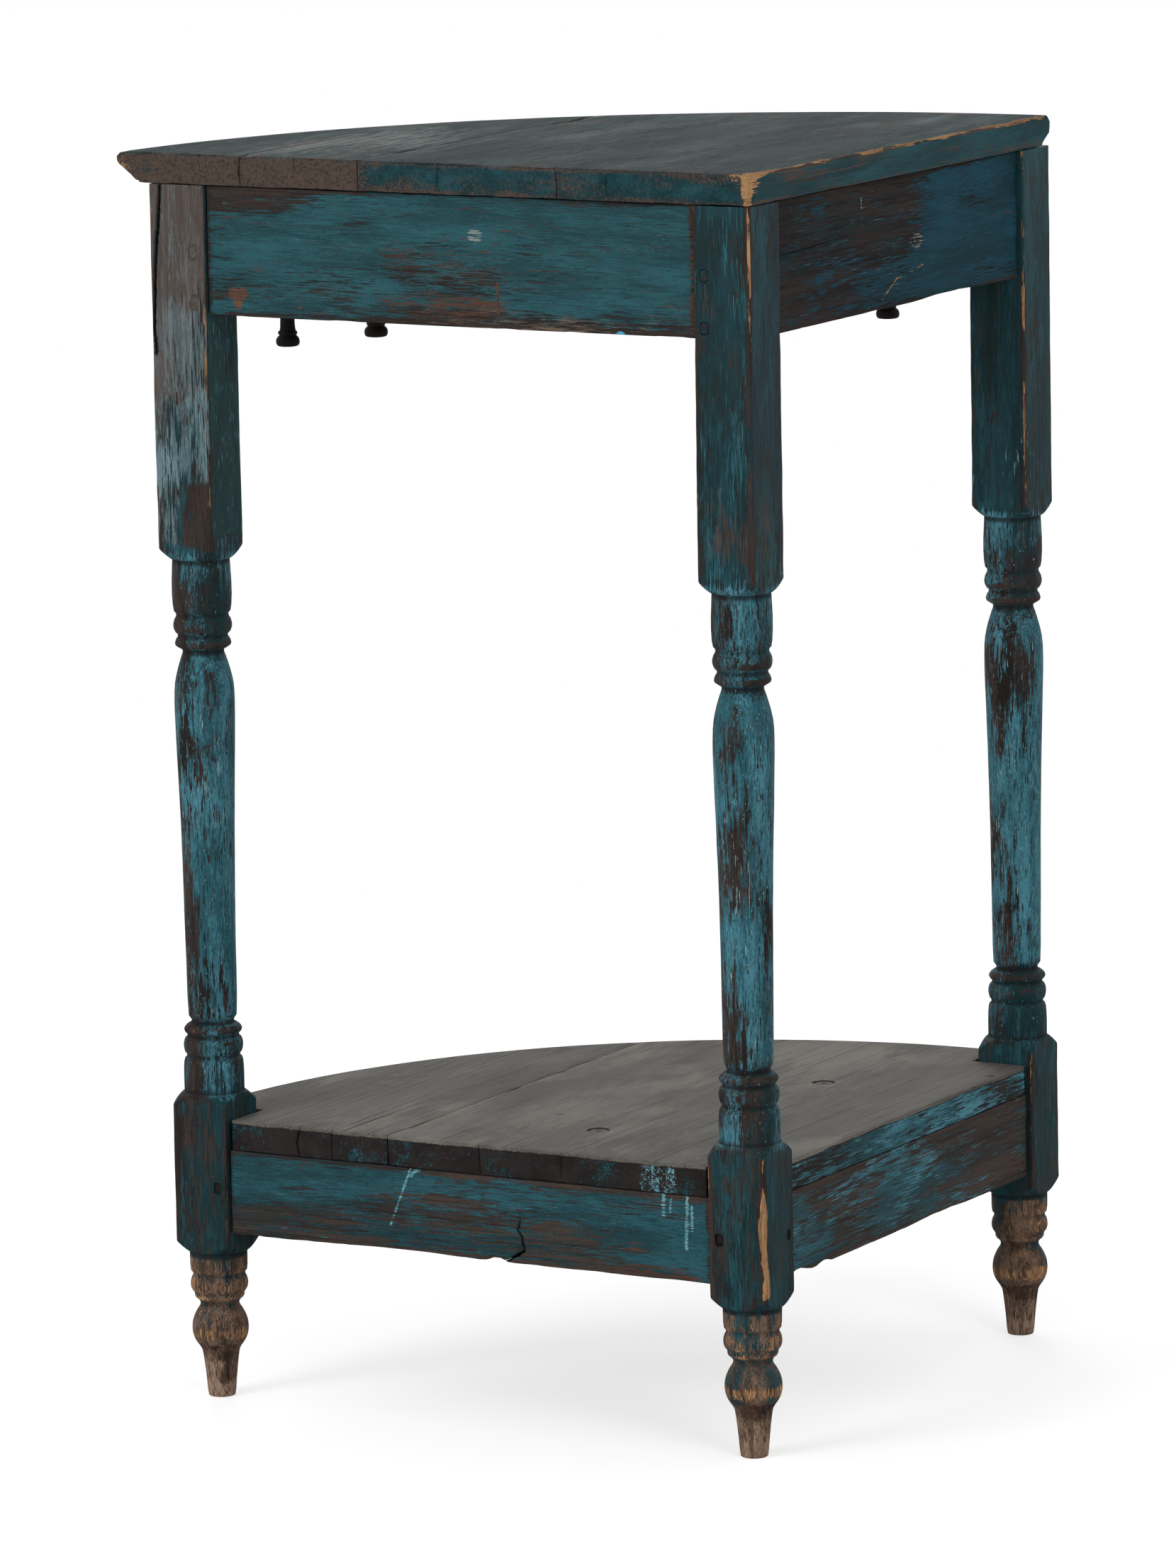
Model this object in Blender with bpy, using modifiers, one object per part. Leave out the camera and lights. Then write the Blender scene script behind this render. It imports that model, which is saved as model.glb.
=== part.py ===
"""Corner washstand: three turned legs, six pinned rails, a quarter-round top and a quarter-round shelf.

Lengths are in metres and +Z is up. The stand fits a room corner. The corner leg stands at the back,
the right wall runs towards -Y from it and the left wall towards -X. A place is first measured as
(along_right, along_left, height) from the outer edge of the corner leg: along_right is the distance
along the right wall, and along_left the distance along the left wall.
"""

import math

import bmesh
import bpy
from mathutils import Vector

# Overall sizes
STAND_HEIGHT = 0.760
RIGHT_SIDE = 0.406  # outer edge of the corner leg to the outer face of the right leg
LEFT_SIDE = 0.388  # the same, to the outer face of the left leg
TOP_RIGHT_OVERHANG = 0.022
TOP_LEFT_OVERHANG = 0.001
TOP_FLATTENING = 0.0115  # how far the middle of the curved edge falls short of the two ends' mean
SHELF_BULGE = 0.015  # how far the middle of the shelf's curve passes the mean of the two sides

# Legs
LEG_SQUARE = 0.0377
FOOT_LENGTH = 0.0904  # floor to the lower square block, shoulder included
SHAFT_BOTTOM = 0.1896  # where the long turned shaft begins
SHAFT_TOP = 0.5146
SHOULDER_HEIGHT = 0.0078  # height of the sloping corners of a square block
LEG_SIDES = 16

# Top and shelf boards
TOP_THICKNESS = 0.0187
SHELF_THICKNESS = 0.0184
SHELF_TOP = 0.1752
TOP_SEAM = 0.261  # place of the joint between the two top boards, along the right wall
SHELF_SEAM = 0.257
TOP_EDGE_ROUND = 0.006
SHELF_EDGE_ROUND = 0.003
LEG_NOTCH_GAP = 0.0022  # room round a leg where the shelf is cut to clear it
ARC_STEPS = 18

# Rails
RAIL_THICKNESS = 0.018
RAIL_SETBACK = 0.0035  # outer face of a rail behind the outer face of a leg
UPPER_RAIL_DEPTH = 0.0775
LOWER_RAIL_DEPTH = 0.0518
FRONT_RAIL_SETBACK = 0.009  # outer face of a curved rail behind the edge above it and the leg faces

# Tenons and their pins
TENON_THICKNESS = 0.008
TENON_LENGTH = 0.016
TENON_SHOULDER = 0.012  # wood left above a tenon
PIN_RADIUS = 0.0038
PIN_LENGTH = 0.024
PIN_FROM_EDGE = 0.0073  # centre of a pin to the face that its rail enters
PIN_SIDES = 12

# Turned drops under the curved upper rail
DROP_LENGTH = 0.0295
DROP_RADIUS = 0.0075
DROP_COUNT = 7
DROP_ROW_SPREAD = math.radians(59.4)  # angle at the corner between the first drop and the last
SPIGOT_LENGTH = 0.011
SPIGOT_RADIUS = 0.0032
DROP_SIDES = 10

# Round plugs let into the shelf
PLUG_RADIUS = 0.0063
PLUG_LENGTH = 0.010
PLUG_SIDES = 20
PLUG_ONE_PLACE = (0.149, 0.069)
PLUG_TWO_PLACE = (0.092, 0.250)

# Fits
CLEARANCE = 0.0003  # between touching pieces
CUT_OVERRUN = 0.005  # how far a cutter passes the surface it opens
FLUSH_SINK = 0.0003  # how far a pin or plug end lies below the surface round it
MERGE = 0.00001
SMOOTH_ANGLE = math.radians(38)
FLAT_ANGLE = math.radians(0.5)

# Turned outlines, bottom to top: share of the turned length, share of half the leg's square
FOOT_SHARES = (
    (0.000, 0.456),
    (0.166, 0.520),
    (0.300, 0.600),
    (0.330, 0.640),
    (0.385, 0.830),
    (0.430, 0.910),
    (0.476, 0.930),
    (0.530, 0.895),
    (0.586, 0.775),
    (0.622, 0.650),
    (0.645, 0.637),
    (0.664, 0.690),
    (0.684, 0.815),
    (0.717, 0.822),
    (0.736, 0.912),
    (0.774, 0.950),
    (0.813, 0.912),
    (0.832, 0.854),
    (0.852, 0.854),
    (0.868, 0.934),
    (1.000, 0.944),
)
SHAFT_SHARES = (
    (0.000, 0.976),
    (0.040, 0.982),
    (0.061, 0.955),
    (0.065, 0.865),
    (0.070, 0.865),
    (0.074, 0.934),
    (0.087, 0.976),
    (0.099, 0.934),
    (0.103, 0.843),
    (0.108, 0.843),
    (0.112, 0.923),
    (0.118, 0.955),
    (0.125, 0.860),
    (0.130, 0.700),
    (0.134, 0.690),
    (0.138, 0.730),
    (0.144, 0.806),
    (0.272, 0.822),
    (0.402, 0.843),
    (0.531, 0.886),
    (0.660, 0.955),
    (0.724, 0.982),
    (0.763, 0.966),
    (0.789, 0.875),
    (0.815, 0.743),
    (0.825, 0.674),
    (0.831, 0.674),
    (0.835, 0.800),
    (0.840, 0.923),
    (0.850, 0.880),
    (0.855, 0.812),
    (0.860, 0.812),
    (0.864, 0.902),
    (0.875, 0.966),
    (0.887, 0.923),
    (0.893, 0.854),
    (0.899, 0.854),
    (0.904, 0.944),
    (0.943, 0.982),
    (1.000, 0.934),
)
# Drop outline, top to bottom: share of the drop's length below the rail, share of its radius
DROP_SHARES = (
    (0.000, 0.930),
    (0.080, 0.960),
    (0.130, 0.700),
    (0.280, 0.580),
    (0.520, 0.620),
    (0.670, 0.650),
    (0.700, 0.810),
    (0.740, 0.810),
    (0.770, 0.690),
    (0.820, 0.930),
    (0.900, 1.000),
    (0.960, 0.950),
    (1.000, 0.800),
)
UPPER_PIN_SHARES = (0.085, 0.480)  # height of each pin as a share of its rail's depth
LOWER_PIN_SHARES = (0.540,)

# Colours: red, green, blue, roughness
DARK_TEAL = (0.012, 0.075, 0.105, 0.62)
TURQUOISE = (0.050, 0.210, 0.290, 0.58)
GREY_WOOD = (0.115, 0.105, 0.100, 0.72)
SLATE_TOP = (0.055, 0.085, 0.100, 0.66)
DARK_WOOD = (0.040, 0.026, 0.018, 0.60)
PIN_WOOD = (0.060, 0.035, 0.022, 0.70)

# Heights worked out from the sizes above
TOP_UNDERSIDE = STAND_HEIGHT - TOP_THICKNESS
SHELF_UNDERSIDE = SHELF_TOP - SHELF_THICKNESS
UPPER_RAIL_TOP = TOP_UNDERSIDE - CLEARANCE
UPPER_RAIL_BOTTOM = UPPER_RAIL_TOP - UPPER_RAIL_DEPTH
LOWER_RAIL_TOP = SHELF_UNDERSIDE - CLEARANCE
LOWER_RAIL_BOTTOM = LOWER_RAIL_TOP - LOWER_RAIL_DEPTH
LEG_TOP = TOP_UNDERSIDE - CLEARANCE
HALF_SQUARE = LEG_SQUARE / 2
TOP_RIGHT_REACH = RIGHT_SIDE + TOP_RIGHT_OVERHANG
TOP_LEFT_REACH = LEFT_SIDE + TOP_LEFT_OVERHANG
TOP_MID_REACH = (TOP_RIGHT_REACH + TOP_LEFT_REACH) / 2 - TOP_FLATTENING
SHELF_MID_REACH = (RIGHT_SIDE + LEFT_SIDE) / 2 + SHELF_BULGE
RAIL_MIDDLE = RAIL_SETBACK + RAIL_THICKNESS / 2

LEG_CENTRES = {
    "leg_corner": (HALF_SQUARE, HALF_SQUARE),
    "leg_right": (RIGHT_SIDE - HALF_SQUARE, HALF_SQUARE),
    "leg_left": (HALF_SQUARE, LEFT_SIDE - HALF_SQUARE),
}


def clear_scene():
    """Leaves an empty scene."""
    for leftover in list(bpy.data.objects):
        bpy.data.objects.remove(leftover, do_unlink=True)


def new_collection(name):
    collection = bpy.data.collections.new(name)
    bpy.context.scene.collection.children.link(collection)
    return collection


clear_scene()
STAND = new_collection("corner_washstand")
CUTTERS = new_collection("cutters")
DATUM = bpy.data.objects.new("corner_datum", None)
DATUM.location = (TOP_LEFT_REACH / 2, TOP_RIGHT_REACH / 2, 0)
STAND.objects.link(DATUM)


def place(along_right, along_left, height):
    """The stand's own X, Y, Z of a place measured from the corner."""
    return Vector((-along_left, -along_right, height))


def paint(name, finish):
    """A material of its own for one piece."""
    material = bpy.data.materials.new(name + "_finish")
    material.use_nodes = True
    shader = material.node_tree.nodes["Principled BSDF"]
    shader.inputs["Base Color"].default_value = (*finish[:3], 1)
    shader.inputs["Roughness"].default_value = finish[3]
    shader.inputs["Metallic"].default_value = 0
    return material


def add_object(name, mesh, location=(0, 0, 0), collection=STAND):
    """Links a mesh as an object placed from the corner."""
    item = bpy.data.objects.new(name, mesh)
    collection.objects.link(item)
    item.parent = DATUM
    item.location = location
    if collection is CUTTERS:
        item.hide_render = True
        item.display_type = "WIRE"
    return item


def box(name, low, high, collection=STAND):
    """A box between two places, each given as (along_right, along_left, height)."""
    corner_a = place(*low)
    corner_b = place(*high)
    span = corner_b - corner_a
    mesh = bpy.data.meshes.new(name)
    shape = bmesh.new()
    bmesh.ops.create_cube(shape, size=1)
    bmesh.ops.scale(shape, vec=[abs(length) for length in span], verts=shape.verts)
    shape.to_mesh(mesh)
    shape.free()
    return add_object(name, mesh, (corner_a + corner_b) / 2, collection)


def cylinder(name, radius, length, sides, centre, axis, collection=STAND):
    """A closed cylinder about its centre, along the given direction."""
    mesh = bpy.data.meshes.new(name)
    shape = bmesh.new()
    bmesh.ops.create_cone(
        shape, cap_ends=True, segments=sides, radius1=radius, radius2=radius, depth=length
    )
    shape.to_mesh(mesh)
    shape.free()
    item = add_object(name, mesh, centre, collection)
    item.rotation_mode = "QUATERNION"
    item.rotation_quaternion = Vector(axis).to_track_quat("Z", "Y")
    return item


def combine(piece, other, operation):
    """Joins, cuts or intersects a piece with another object."""
    modifier = piece.modifiers.new(other.name, "BOOLEAN")
    modifier.operation = operation
    modifier.object = other
    modifier.solver = "EXACT"


def settle(piece, finish):
    """Turns the modifiers into the piece's own mesh, shades it and gives it its material."""
    graph = bpy.context.evaluated_depsgraph_get()
    mesh = bpy.data.meshes.new_from_object(piece.evaluated_get(graph))
    piece.modifiers.clear()
    piece.data = mesh
    mesh.name = piece.name
    mesh.materials.clear()
    mesh.materials.append(paint(piece.name, finish))
    mesh.shade_smooth()
    mesh.set_sharp_from_angle(angle=SMOOTH_ANGLE)


def turned(name, outline, sides, location, collection=STAND):
    """A solid of revolution about Z. The outline runs down its outer side as (radius, height)."""
    mesh = bpy.data.meshes.new(name)
    points = [(radius, 0, height) for radius, height in outline]
    edges = [(index, index + 1) for index in range(len(points) - 1)]
    mesh.from_pydata(points, edges, [])
    item = add_object(name, mesh, location, collection)
    spin = item.modifiers.new("turning", "SCREW")
    spin.angle = 2 * math.pi
    spin.steps = sides
    spin.render_steps = sides
    spin.use_merge_vertices = True
    spin.merge_threshold = MERGE
    return item


def circle_through(point_a, point_b, point_c):
    """Centre and radius of the circle through three points of a plan."""
    first = Vector(point_b) - Vector(point_a)
    second = Vector(point_c) - Vector(point_a)
    scale = 2 * (first.x * second.y - first.y * second.x)
    across = (second.y * first.length_squared - first.y * second.length_squared) / scale
    along = (first.x * second.length_squared - second.x * first.length_squared) / scale
    centre = Vector(point_a) + Vector((across, along))
    return centre, Vector((across, along)).length


def far_left(circle, along_right):
    """How far along the left wall a circle reaches at a given distance along the right wall."""
    centre, radius = circle
    return centre.y + math.sqrt(max(radius**2 - (along_right - centre.x) ** 2, 0))


def far_right(circle, along_left):
    """How far along the right wall a circle reaches at a given distance along the left wall."""
    centre, radius = circle
    return centre.x + math.sqrt(max(radius**2 - (along_left - centre.y) ** 2, 0))


def arc_points(circle, start, end, steps):
    """Points on the circle from one plan point to another, both lying on it."""
    centre, radius = circle
    first = math.atan2(start[1] - centre.y, start[0] - centre.x)
    last = math.atan2(end[1] - centre.y, end[0] - centre.x)
    angles = [first + (last - first) * step / steps for step in range(steps + 1)]
    return [
        (centre.x + radius * math.cos(angle), centre.y + radius * math.sin(angle))
        for angle in angles
    ]


DIAGONAL = math.sqrt(0.5)
TOP_CIRCLE = circle_through(
    (TOP_RIGHT_REACH, 0),
    (TOP_MID_REACH * DIAGONAL, TOP_MID_REACH * DIAGONAL),
    (0, TOP_LEFT_REACH),
)
SHELF_CIRCLE = circle_through(
    (RIGHT_SIDE, LEG_SQUARE),
    (SHELF_MID_REACH * DIAGONAL, SHELF_MID_REACH * DIAGONAL),
    (LEG_SQUARE, LEFT_SIDE),
)


def front_circle(mid_reach):
    """Plan circle of a curved rail's outer face, set back from the edge that it carries."""
    reach = (mid_reach - FRONT_RAIL_SETBACK) * DIAGONAL
    return circle_through(
        (RIGHT_SIDE - FRONT_RAIL_SETBACK, LEG_SQUARE),
        (reach, reach),
        (LEG_SQUARE, LEFT_SIDE - FRONT_RAIL_SETBACK),
    )


UPPER_FRONT_CIRCLE = front_circle(TOP_MID_REACH)
LOWER_FRONT_CIRCLE = front_circle(SHELF_MID_REACH)


def slab(name, outline, bottom, thickness, collection=STAND):
    """A flat board from a closed plan outline, filled and extruded."""
    curve = bpy.data.curves.new(name, "CURVE")
    curve.dimensions = "2D"
    curve.fill_mode = "BOTH"
    curve.extrude = thickness / 2
    spline = curve.splines.new("POLY")
    spline.points.add(len(outline) - 1)
    spline.use_cyclic_u = True
    for point, (along_right, along_left) in zip(spline.points, outline):
        point.co = (*place(along_right, along_left, 0), 1)
    flat = bpy.data.objects.new(name + "_outline", curve)
    STAND.objects.link(flat)
    graph = bpy.context.evaluated_depsgraph_get()
    mesh = bpy.data.meshes.new_from_object(flat.evaluated_get(graph))
    bpy.data.objects.remove(flat, do_unlink=True)
    shape = bmesh.new()
    shape.from_mesh(mesh)
    bmesh.ops.remove_doubles(shape, verts=shape.verts, dist=MERGE)
    bmesh.ops.dissolve_limit(
        shape, angle_limit=FLAT_ANGLE, verts=shape.verts, edges=shape.edges
    )
    bmesh.ops.recalc_face_normals(shape, faces=shape.faces)
    shape.to_mesh(mesh)
    shape.free()
    return add_object(name, mesh, (0, 0, bottom + thickness / 2), collection)


def round_curved_edge(piece, circle, amount):
    """Rounds the edges of a board that follow its curved front."""
    centre, radius = circle
    middle = place(centre.x, centre.y, 0).xy
    shape = bmesh.new()
    shape.from_mesh(piece.data)
    curved = [
        edge
        for edge in shape.edges
        if all(abs((vertex.co.xy - middle).length - radius) < CLEARANCE for vertex in edge.verts)
        and abs(edge.verts[0].co.z - edge.verts[1].co.z) < MERGE
    ]
    bmesh.ops.bevel(
        shape, geom=curved, offset=amount, segments=3, profile=0.5, affect="EDGES"
    )
    shape.to_mesh(piece.data)
    shape.free()


def boards(prefix, circle, seam, reach, bottom, thickness, edge_round, wall_gap):
    """The two boards of a quarter-round panel, joined along a line parallel to the left wall."""
    right_reach, left_reach = reach
    seam_back = seam - CLEARANCE / 2
    seam_front = seam + CLEARANCE / 2
    back_arc = arc_points(
        circle, (seam_back, far_left(circle, seam_back)), (wall_gap, left_reach), ARC_STEPS
    )
    front_arc = arc_points(
        circle, (right_reach, wall_gap), (seam_front, far_left(circle, seam_front)), ARC_STEPS
    )
    back_outline = [(wall_gap, wall_gap), (seam_back, wall_gap), *back_arc]
    front_outline = [(seam_front, wall_gap), *front_arc]
    pieces = []
    for part_name, outline in (("back", back_outline), ("front", front_outline)):
        piece = slab(f"{prefix}_board_{part_name}", outline, bottom, thickness)
        round_curved_edge(piece, circle, edge_round)
        pieces.append(piece)
    return pieces


def leg_outline():
    """Lathe outline of a leg. It swings wide of the square at the two blocks."""
    wide = LEG_SQUARE * DIAGONAL + CUT_OVERRUN
    rising = [
        (share_out * HALF_SQUARE, share_up * FOOT_LENGTH) for share_up, share_out in FOOT_SHARES
    ]
    rising.append((LEG_SQUARE * DIAGONAL, FOOT_LENGTH + SHOULDER_HEIGHT))
    rising.append((wide, FOOT_LENGTH + SHOULDER_HEIGHT))
    rising.append((wide, SHAFT_BOTTOM - SHOULDER_HEIGHT))
    rising.append((LEG_SQUARE * DIAGONAL, SHAFT_BOTTOM - SHOULDER_HEIGHT))
    shaft = SHAFT_TOP - SHAFT_BOTTOM
    rising.extend(
        (share_out * HALF_SQUARE, SHAFT_BOTTOM + share_up * shaft)
        for share_up, share_out in SHAFT_SHARES
    )
    rising.append((LEG_SQUARE * DIAGONAL, SHAFT_TOP + SHOULDER_HEIGHT))
    rising.append((wide, SHAFT_TOP + SHOULDER_HEIGHT))
    rising.append((wide, LEG_TOP))
    return [(0, LEG_TOP), *reversed(rising), (0, 0)]


def make_leg(name):
    """One leg, turned from square stock: the lathe outline kept inside the square."""
    along_right, along_left = LEG_CENTRES[name]
    leg = turned(name, leg_outline(), LEG_SIDES, place(along_right, along_left, 0))
    stock = box(
        name + "_stock",
        (along_right - HALF_SQUARE, along_left - HALF_SQUARE, -CUT_OVERRUN),
        (along_right + HALF_SQUARE, along_left + HALF_SQUARE, STAND_HEIGHT),
        CUTTERS,
    )
    combine(leg, stock, "INTERSECT")
    return leg


def straight_rail(name, side, bottom, depth, legs):
    """A rail along one wall, with a tenon at each end and mortises cut in its two legs."""
    top = bottom + depth
    length = RIGHT_SIDE if side == "right" else LEFT_SIDE
    start = LEG_SQUARE + CLEARANCE
    end = length - LEG_SQUARE - CLEARANCE

    def span(low_end, high_end, inner, outer, low, high):
        if side == "right":
            return (low_end, inner, low), (high_end, outer, high)
        return (inner, low_end, low), (outer, high_end, high)

    body = span(start, end, RAIL_SETBACK, RAIL_SETBACK + RAIL_THICKNESS, bottom, top)
    rail = box(name, *body)
    inner = RAIL_MIDDLE - TENON_THICKNESS / 2
    outer = RAIL_MIDDLE + TENON_THICKNESS / 2
    tenon_top = top - TENON_SHOULDER
    tenon = box(
        name + "_tenon",
        *span(
            LEG_SQUARE - TENON_LENGTH,
            length - LEG_SQUARE + TENON_LENGTH,
            inner,
            outer,
            bottom,
            tenon_top,
        ),
        CUTTERS,
    )
    combine(rail, tenon, "UNION")
    reach = TENON_LENGTH + CLEARANCE
    ends = (
        (LEG_SQUARE - reach, LEG_SQUARE + CUT_OVERRUN),
        (length - LEG_SQUARE - CUT_OVERRUN, length - LEG_SQUARE + reach),
    )
    for leg, (low_end, high_end) in zip(legs, ends):
        mortise = box(
            f"{name}_{leg.name}_mortise",
            *span(
                low_end,
                high_end,
                inner - CLEARANCE,
                outer + CLEARANCE,
                bottom - CLEARANCE,
                tenon_top + CLEARANCE,
            ),
            CUTTERS,
        )
        combine(leg, mortise, "DIFFERENCE")
    return rail


def curved_rail(name, outer, bottom, depth, leg_right, leg_left):
    """The rail along the curved front, with a tenon into each front leg."""
    top = bottom + depth
    centre, radius = outer
    inner = (centre, radius - RAIL_THICKNESS)
    middle = (centre, radius - RAIL_THICKNESS / 2)
    start = LEG_SQUARE + CLEARANCE
    outer_arc = arc_points(
        outer, (far_right(outer, start), start), (start, far_left(outer, start)), ARC_STEPS
    )
    inner_arc = arc_points(
        inner, (far_right(inner, start), start), (start, far_left(inner, start)), ARC_STEPS
    )
    rail = slab(name, outer_arc + inner_arc[::-1], bottom, depth)
    tenon_top = top - TENON_SHOULDER
    half = TENON_THICKNESS / 2
    at_right = far_right(middle, start)
    at_left = far_left(middle, start)
    overlap = start + RAIL_THICKNESS / 2
    tenons = {
        leg_right: ((at_right - half, at_right + half), (LEG_SQUARE - TENON_LENGTH, overlap)),
        leg_left: ((LEG_SQUARE - TENON_LENGTH, overlap), (at_left - half, at_left + half)),
    }
    for leg, (right_span, left_span) in tenons.items():
        tenon = box(
            f"{name}_{leg.name}_tenon",
            (right_span[0], left_span[0], bottom),
            (right_span[1], left_span[1], tenon_top),
            CUTTERS,
        )
        combine(rail, tenon, "UNION")
        mortise = box(
            f"{name}_{leg.name}_mortise",
            (right_span[0] - CLEARANCE, left_span[0] - CLEARANCE, bottom - CLEARANCE),
            (right_span[1] + CLEARANCE, left_span[1] + CLEARANCE, tenon_top + CLEARANCE),
            CUTTERS,
        )
        combine(leg, mortise, "DIFFERENCE")
    return rail


def pin_row(name, side, distance, rail, bottom, depth, shares, leg):
    """The pins that hold one tenon, driven in from the wall side through leg and tenon."""
    pins = []
    for number, share in enumerate(shares, start=1):
        height = bottom + share * depth
        into = FLUSH_SINK + PIN_LENGTH / 2
        if side == "right":
            centre = place(distance, into, height)
            axis = place(0, 1, 0)
        else:
            centre = place(into, distance, height)
            axis = place(1, 0, 0)
        pin_name = f"{name}_{number}"
        pins.append(cylinder(pin_name, PIN_RADIUS, PIN_LENGTH, PIN_SIDES, centre, axis))
        hole = cylinder(
            pin_name + "_hole",
            PIN_RADIUS + CLEARANCE,
            PIN_LENGTH + CLEARANCE + CUT_OVERRUN,
            PIN_SIDES,
            centre + axis * (CLEARANCE - CUT_OVERRUN) / 2,
            axis,
            CUTTERS,
        )
        combine(leg, hole, "DIFFERENCE")
        combine(rail, hole, "DIFFERENCE")
    return pins


def hanging_drops(rail):
    """The row of turned drops, each with a spigot in a hole under the curved upper rail."""
    centre, radius = UPPER_FRONT_CIRCLE
    middle = radius - RAIL_THICKNESS / 2
    drops = []
    for index in range(DROP_COUNT):
        turn = DROP_ROW_SPREAD * index / (DROP_COUNT - 1)
        angle = (math.pi / 2 - DROP_ROW_SPREAD) / 2 + turn
        heading = Vector((math.cos(angle), math.sin(angle)))
        along = centre.dot(heading)
        distance = along + math.sqrt(along**2 - centre.length_squared + middle**2)
        spot = heading * distance
        outline = [(0, SPIGOT_LENGTH), (SPIGOT_RADIUS, SPIGOT_LENGTH), (SPIGOT_RADIUS, -CLEARANCE)]
        outline.extend(
            (share_out * DROP_RADIUS, -CLEARANCE - share_down * DROP_LENGTH)
            for share_down, share_out in DROP_SHARES
        )
        outline.append((0, -CLEARANCE - DROP_LENGTH))
        at = place(spot.x, spot.y, UPPER_RAIL_BOTTOM)
        drops.append(turned(f"drop_{index + 1}", outline, DROP_SIDES, at))
        hole = cylinder(
            f"drop_{index + 1}_hole",
            SPIGOT_RADIUS + CLEARANCE,
            SPIGOT_LENGTH + CLEARANCE + CUT_OVERRUN,
            DROP_SIDES,
            at + Vector((0, 0, (SPIGOT_LENGTH + CLEARANCE - CUT_OVERRUN) / 2)),
            (0, 0, 1),
            CUTTERS,
        )
        combine(rail, hole, "DIFFERENCE")
    return drops


def shelf_plugs(board):
    """Round wooden plugs let into the shelf's surface."""
    plugs = []
    for number, (along_right, along_left) in enumerate((PLUG_ONE_PLACE, PLUG_TWO_PLACE), start=1):
        centre = place(along_right, along_left, SHELF_TOP - FLUSH_SINK - PLUG_LENGTH / 2)
        up = (0, 0, 1)
        name = f"shelf_plug_{number}"
        plugs.append(cylinder(name, PLUG_RADIUS, PLUG_LENGTH, PLUG_SIDES, centre, up))
        hole = cylinder(
            name + "_hole",
            PLUG_RADIUS + CLEARANCE,
            PLUG_LENGTH + CLEARANCE + CUT_OVERRUN,
            PLUG_SIDES,
            centre + Vector((0, 0, (CUT_OVERRUN - CLEARANCE) / 2)),
            up,
            CUTTERS,
        )
        combine(board, hole, "DIFFERENCE")
    return plugs


def notch_for_legs(board_list):
    """Cuts the shelf boards clear of the square blocks of the legs."""
    reach = HALF_SQUARE + LEG_NOTCH_GAP
    for leg_name, (along_right, along_left) in LEG_CENTRES.items():
        notch = box(
            leg_name + "_notch",
            (along_right - reach, along_left - reach, SHELF_UNDERSIDE - CUT_OVERRUN),
            (along_right + reach, along_left + reach, SHELF_TOP + CUT_OVERRUN),
            CUTTERS,
        )
        for board in board_list:
            combine(board, notch, "DIFFERENCE")


legs = {name: make_leg(name) for name in LEG_CENTRES}
corner = legs["leg_corner"]
right = legs["leg_right"]
left = legs["leg_left"]

rails = []
pins = []
levels = (
    ("upper", UPPER_RAIL_BOTTOM, UPPER_RAIL_DEPTH, UPPER_FRONT_CIRCLE, UPPER_PIN_SHARES),
    ("lower", LOWER_RAIL_BOTTOM, LOWER_RAIL_DEPTH, LOWER_FRONT_CIRCLE, LOWER_PIN_SHARES),
)
for level, rail_bottom, rail_depth, front, pin_shares in levels:
    wall_rail_right = straight_rail(
        f"{level}_rail_right", "right", rail_bottom, rail_depth, (corner, right)
    )
    wall_rail_left = straight_rail(
        f"{level}_rail_left", "left", rail_bottom, rail_depth, (corner, left)
    )
    front_rail = curved_rail(f"{level}_rail_front", front, rail_bottom, rail_depth, right, left)
    rails.extend((wall_rail_right, wall_rail_left, front_rail))
    near = LEG_SQUARE - PIN_FROM_EDGE
    far = RIGHT_SIDE - LEG_SQUARE + PIN_FROM_EDGE
    joint = (wall_rail_right, rail_bottom, rail_depth, pin_shares)
    pins += pin_row(f"{level}_pin_corner", "right", near, *joint, corner)
    pins += pin_row(f"{level}_pin_right", "right", far, *joint, right)
    if level == "upper":
        upper_front_rail = front_rail

top_boards = boards(
    "top",
    TOP_CIRCLE,
    TOP_SEAM,
    (TOP_RIGHT_REACH, TOP_LEFT_REACH),
    TOP_UNDERSIDE,
    TOP_THICKNESS,
    TOP_EDGE_ROUND,
    0,
)
shelf_boards = boards(
    "shelf",
    SHELF_CIRCLE,
    SHELF_SEAM,
    (far_right(SHELF_CIRCLE, RAIL_SETBACK), far_left(SHELF_CIRCLE, RAIL_SETBACK)),
    SHELF_UNDERSIDE,
    SHELF_THICKNESS,
    SHELF_EDGE_ROUND,
    RAIL_SETBACK,
)
notch_for_legs(shelf_boards)
plugs = shelf_plugs(shelf_boards[0])
drops = hanging_drops(upper_front_rail)

finishes = (
    (legs.values(), TURQUOISE),
    (rails, DARK_TEAL),
    (pins, PIN_WOOD),
    (top_boards, SLATE_TOP),
    (shelf_boards, GREY_WOOD),
    (plugs, GREY_WOOD),
    (drops, DARK_WOOD),
)
for group, finish in finishes:
    for piece in group:
        settle(piece, finish)
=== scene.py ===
"""Looks of the corner washstand: worn blue paint over brown wood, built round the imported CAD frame.

Lengths are in metres. A place is measured as in the CAD: along the right wall, along the left wall
and up, from the outer edge of the corner leg. The corner leg is nearest the camera, so the legs at
the far left and far right of the picture are leg_right and leg_left.
"""

import math
from statistics import NormalDist

import bmesh
import bpy
import numpy as np
from mathutils import Matrix, Vector, kdtree, noise


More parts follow.
